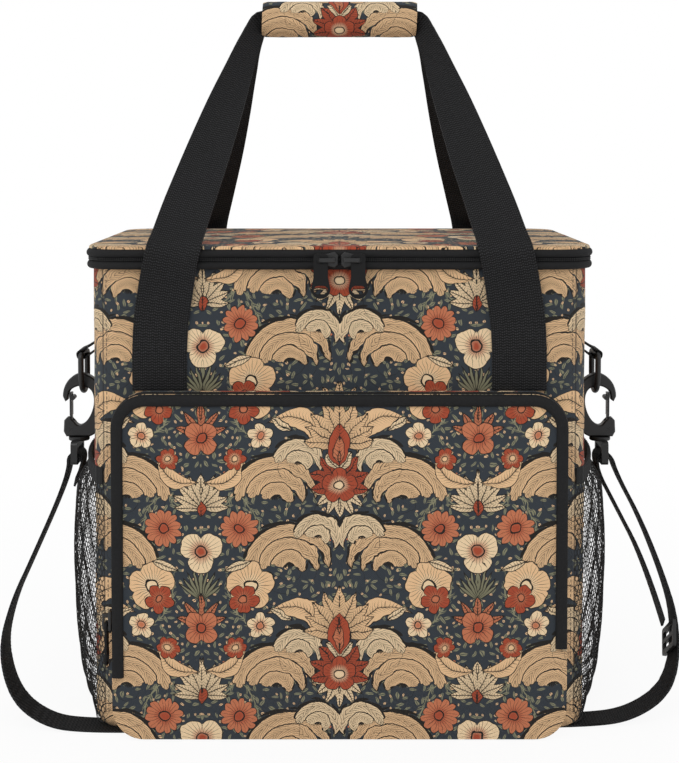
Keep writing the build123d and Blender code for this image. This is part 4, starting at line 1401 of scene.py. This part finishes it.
class BAG_OT_strap(bpy.types.Operator):
    """Builds the shoulder strap in two halves that meet under the bag"""

    bl_idname = "bag.strap"
    bl_label = "Shoulder strap"

    LEFT = [
        (-202.4, -8.5, 154.0), (-197.3, -1.0, 165.0), (-197.0, 0.0, 176.6), (-207.2, 0.0, 176.6),
        (-207.6, -1.5, 163.0), (-214.5, -13.0, 141.0), (-228.5, -34.0, 106.0), (-241.0, -55.0, 75.0),
        (-244.5, -74.0, 46.0), (-231.5, -92.5, 17.5), (-206.0, -104.0, 3.6), (-177.0, -106.2, 1.0),
        (-122.0, -105.2, 1.0), (-52.0, -102.0, 1.0), (-7.0, -100.5, 1.0),
    ]
    RIGHT = [
        (238.6, -58.4, 60.0), (229.0, -36.0, 99.0), (208.5, -12.5, 141.0), (197.6, -1.5, 163.0),
        (197.0, 0.0, 176.6), (207.4, 0.0, 176.6), (212.5, -3.0, 160.0), (228.5, -18.5, 128.0),
        (241.5, -41.0, 90.0), (247.0, -55.0, 64.0), (244.0, -72.0, 37.0), (232.5, -85.0, 17.0),
        (206.0, -93.0, 4.0), (176.0, -95.0, 1.0), (116.0, -97.2, 1.0), (38.0, -99.0, 1.0),
        (-7.0, -100.5, 1.0),
    ]

    def execute(self, context):
        for name, route, side in (("left", self.LEFT, -1), ("right", self.RIGHT, 1)):
            line = self.centre_line(name, [Vector(p) * MM for p in route])
            path = Run(line)
            run = path.length

            profile = [(-0.5, -0.5), (-0.46, -0.5), (0.0, -0.5), (0.46, -0.5), (0.5, -0.5),
                       (0.5, 0.5), (0.46, 0.5), (0.0, 0.5), (-0.46, 0.5), (-0.5, 0.5)]
            count = len(profile)

            def place(s, t):
                across, up = profile[int(round(s * count)) % count]
                i, share = path.find(t * run)
                spot = line[i - 1].lerp(line[i], share)
                along = (line[min(i + 1, len(line) - 1)] - line[max(i - 2, 0)]).normalized()
                wide = (Vector((0, 1, 0)) - along * along.y).normalized()
                flat = along.cross(wide)
                return spot + wide * (across * STRAP_WIDE) + flat * (up * STRAP_THICK)

            obj = grid(f"{name}_shoulder_strap", count, 320, place, (0.0529, run), close=True, caps=True)
            smooth(obj, 60)
            map_cloth(obj, lambda p, m, n: (p.y, p.z + p.x * 0.7))
            obj.data.materials.clear()
            obj.data.materials.append(finish("strap"))
            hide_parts("shoulder_strap")
            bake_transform(obj)
            tuple(line[0])
            [tuple(p) for p in line]
        return {"FINISHED"}

    @staticmethod
    def centre_line(name, points):
        curve = bpy.data.curves.new(f"{name}_strap_line", "CURVE")
        curve.dimensions = "3D"
        curve.resolution_u = 12
        spline = curve.splines.new("NURBS")
        spline.points.add(len(points) - 1)
        for point, at in zip(spline.points, points):
            point.co = (*at, 1.0)
        spline.order_u = 3
        spline.use_endpoint_u = True
        carrier = bpy.data.objects.new(f"{name}_strap_line", curve)
        bpy.context.scene.collection.objects.link(carrier)
        bpy.context.view_layer.update()
        mesh = bpy.data.meshes.new_from_object(carrier)
        line = [v.co.copy() for v in mesh.vertices]
        bpy.data.meshes.remove(mesh)
        bpy.data.objects.remove(carrier)
        bpy.data.curves.remove(curve)
        return line


class BAG_OT_hardware(bpy.types.Operator):
    """Gives the moulded and hidden solids their finishes"""

    bl_idname = "bag.hardware"
    bl_label = "Hardware"

    def execute(self, context):
        kinds = {
            "d_ring": "hardware", "snap_hook": "hardware", "swivel_eye": "hardware", "hook_gate": "hardware",
            "tri_glide": "hardware", "main_slider": "slider", "pocket_slider": "slider",
            "main_pull": "rubber", "pocket_pull": "rubber",
            "foam": "foam", "liner": "liner", "board": "board",
        }
        for node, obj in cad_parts.items():
            kind = next((k for part, k in kinds.items() if part in node), "tape")
            if kind == "tape" and obj.hide_render:
                continue
            obj.data.materials.clear()
            obj.data.materials.append(finish(kind))
        return {"FINISHED"}


class BAG_OT_stage(bpy.types.Operator):
    """Sets the floor, the lights, the world and the camera"""

    bl_idname = "bag.stage"
    bl_label = "Stage"

    def execute(self, context):
        look = context.scene.bag_stage
        clear_selection()
        bpy.ops.mesh.primitive_plane_add(size=12, location=(0, 0, 0))
        floor = context.object
        floor.name = floor.data.name = "studio_floor"
        f = Finish("pale_floor")
        f.set(Base_Color=(0.86, 0.86, 0.86), Roughness=0.9)
        glow = f.tree.nodes.new("ShaderNodeEmission")
        pick = f.tree.nodes.new("ShaderNodeMixShader")
        x, y, z = f.place()
        away = ((x * x + y * y).math("POWER", 0.5) * 0.00012).math("MINIMUM", 0.1)
        seen = f.node("ShaderNodeLightPath", {}, out="Is Camera Ray") * (away + 0.9)
        f.tree.links.new(seen.out, pick.inputs[0])
        f.tree.links.new(f.shader.outputs[0], pick.inputs[1])
        f.tree.links.new(glow.outputs[0], pick.inputs[2])
        f.tree.links.new(pick.outputs[0], f.tree.nodes["Material Output"].inputs["Surface"])
        floor.data.materials.append(f.material)

        world = bpy.data.worlds.new("studio")
        context.scene.world = world
        world.use_nodes = True
        tree = world.node_tree
        plain = tree.nodes["Background"]
        plain.inputs["Color"].default_value = (1, 1, 1, 1)
        plain.inputs["Strength"].default_value = look.world
        white = tree.nodes.new("ShaderNodeBackground")
        white.inputs["Color"].default_value = (1, 1, 1, 1)
        white.inputs["Strength"].default_value = 1.0
        seen = tree.nodes.new("ShaderNodeLightPath")
        pick = tree.nodes.new("ShaderNodeMixShader")
        tree.links.new(seen.outputs["Is Camera Ray"], pick.inputs[0])
        tree.links.new(plain.outputs[0], pick.inputs[1])
        tree.links.new(white.outputs[0], pick.inputs[2])
        tree.links.new(pick.outputs[0], tree.nodes["World Output"].inputs[0])

        for name, spot, size, watts in (
            ("key_light", (-0.5, -1.6, 1.9), 1.4, look.key),
            ("left_fill", (-1.9, -0.9, 0.9), 1.2, look.fill),
            ("right_fill", (1.9, -0.9, 0.9), 1.2, look.fill),
        ):
            lamp = bpy.data.lights.new(name, "AREA")
            lamp.size, lamp.energy = size, watts
            obj = bpy.data.objects.new(name, lamp)
            context.scene.collection.objects.link(obj)
            obj.location = spot
            aim = Vector((0, 0, 0.22)) - Vector(spot)
            obj.rotation_euler = aim.to_track_quat("-Z", "Y").to_euler()

        lens = bpy.data.cameras.new("photo_camera")
        camera = bpy.data.objects.new("photo_camera", lens)
        context.scene.collection.objects.link(camera)
        camera.location = (0, -1.196, 0.411)
        camera.rotation_euler = (math.radians(90 - 2.7), 0, 0)
        # Fitted to the photo, in its pixels: focal length, picture height and the height of the horizon
        focal, tall, horizon = 1564, 763, 219.8
        lens.sensor_width = 36
        lens.lens = focal / tall * 36
        lens.shift_y = -(tall / 2 - horizon) / tall
        lens.clip_start = 0.05
        context.scene.camera = camera
        context.scene.view_settings.view_transform = "Standard"
        return {"FINISHED"}


STEPS = ("strap", "shell", "lid", "lid_zip", "handles", "grip", "pocket", "nets", "tabs", "hardware", "stage")


class BAG_PT_panel(bpy.types.Panel):
    """Lists the pieces of the bag"""

    bl_idname = "BAG_PT_panel"
    bl_label = "Insulated Bag"
    bl_space_type = "VIEW_3D"
    bl_region_type = "UI"
    bl_category = "Bag"

    def draw(self, context):
        for step in STEPS:
            self.layout.operator(f"bag.{step}")
        for group in (context.scene.bag_print, context.scene.bag_fabric, context.scene.bag_stage):
            for name in group.__annotations__:
                self.layout.prop(group, name)


CLASSES = (BagPrint, BagFabric, BagStage, BAG_OT_shell, BAG_OT_lid, BAG_OT_lid_zip, BAG_OT_handles,
           BAG_OT_grip, BAG_OT_pocket, BAG_OT_nets, BAG_OT_tabs, BAG_OT_strap, BAG_OT_hardware,
           BAG_OT_stage, BAG_PT_panel)


def register():
    for item in CLASSES:
        bpy.utils.register_class(item)
    bpy.types.Scene.bag_print = bpy.props.PointerProperty(type=BagPrint)
    bpy.types.Scene.bag_fabric = bpy.props.PointerProperty(type=BagFabric)
    bpy.types.Scene.bag_stage = bpy.props.PointerProperty(type=BagStage)


def unregister():
    del bpy.types.Scene.bag_print, bpy.types.Scene.bag_fabric, bpy.types.Scene.bag_stage
    for item in reversed(CLASSES):
        bpy.utils.unregister_class(item)


def main():
    register()
    for step in STEPS:
        getattr(bpy.ops.bag, step)()


if __name__ == "__main__":
    main()
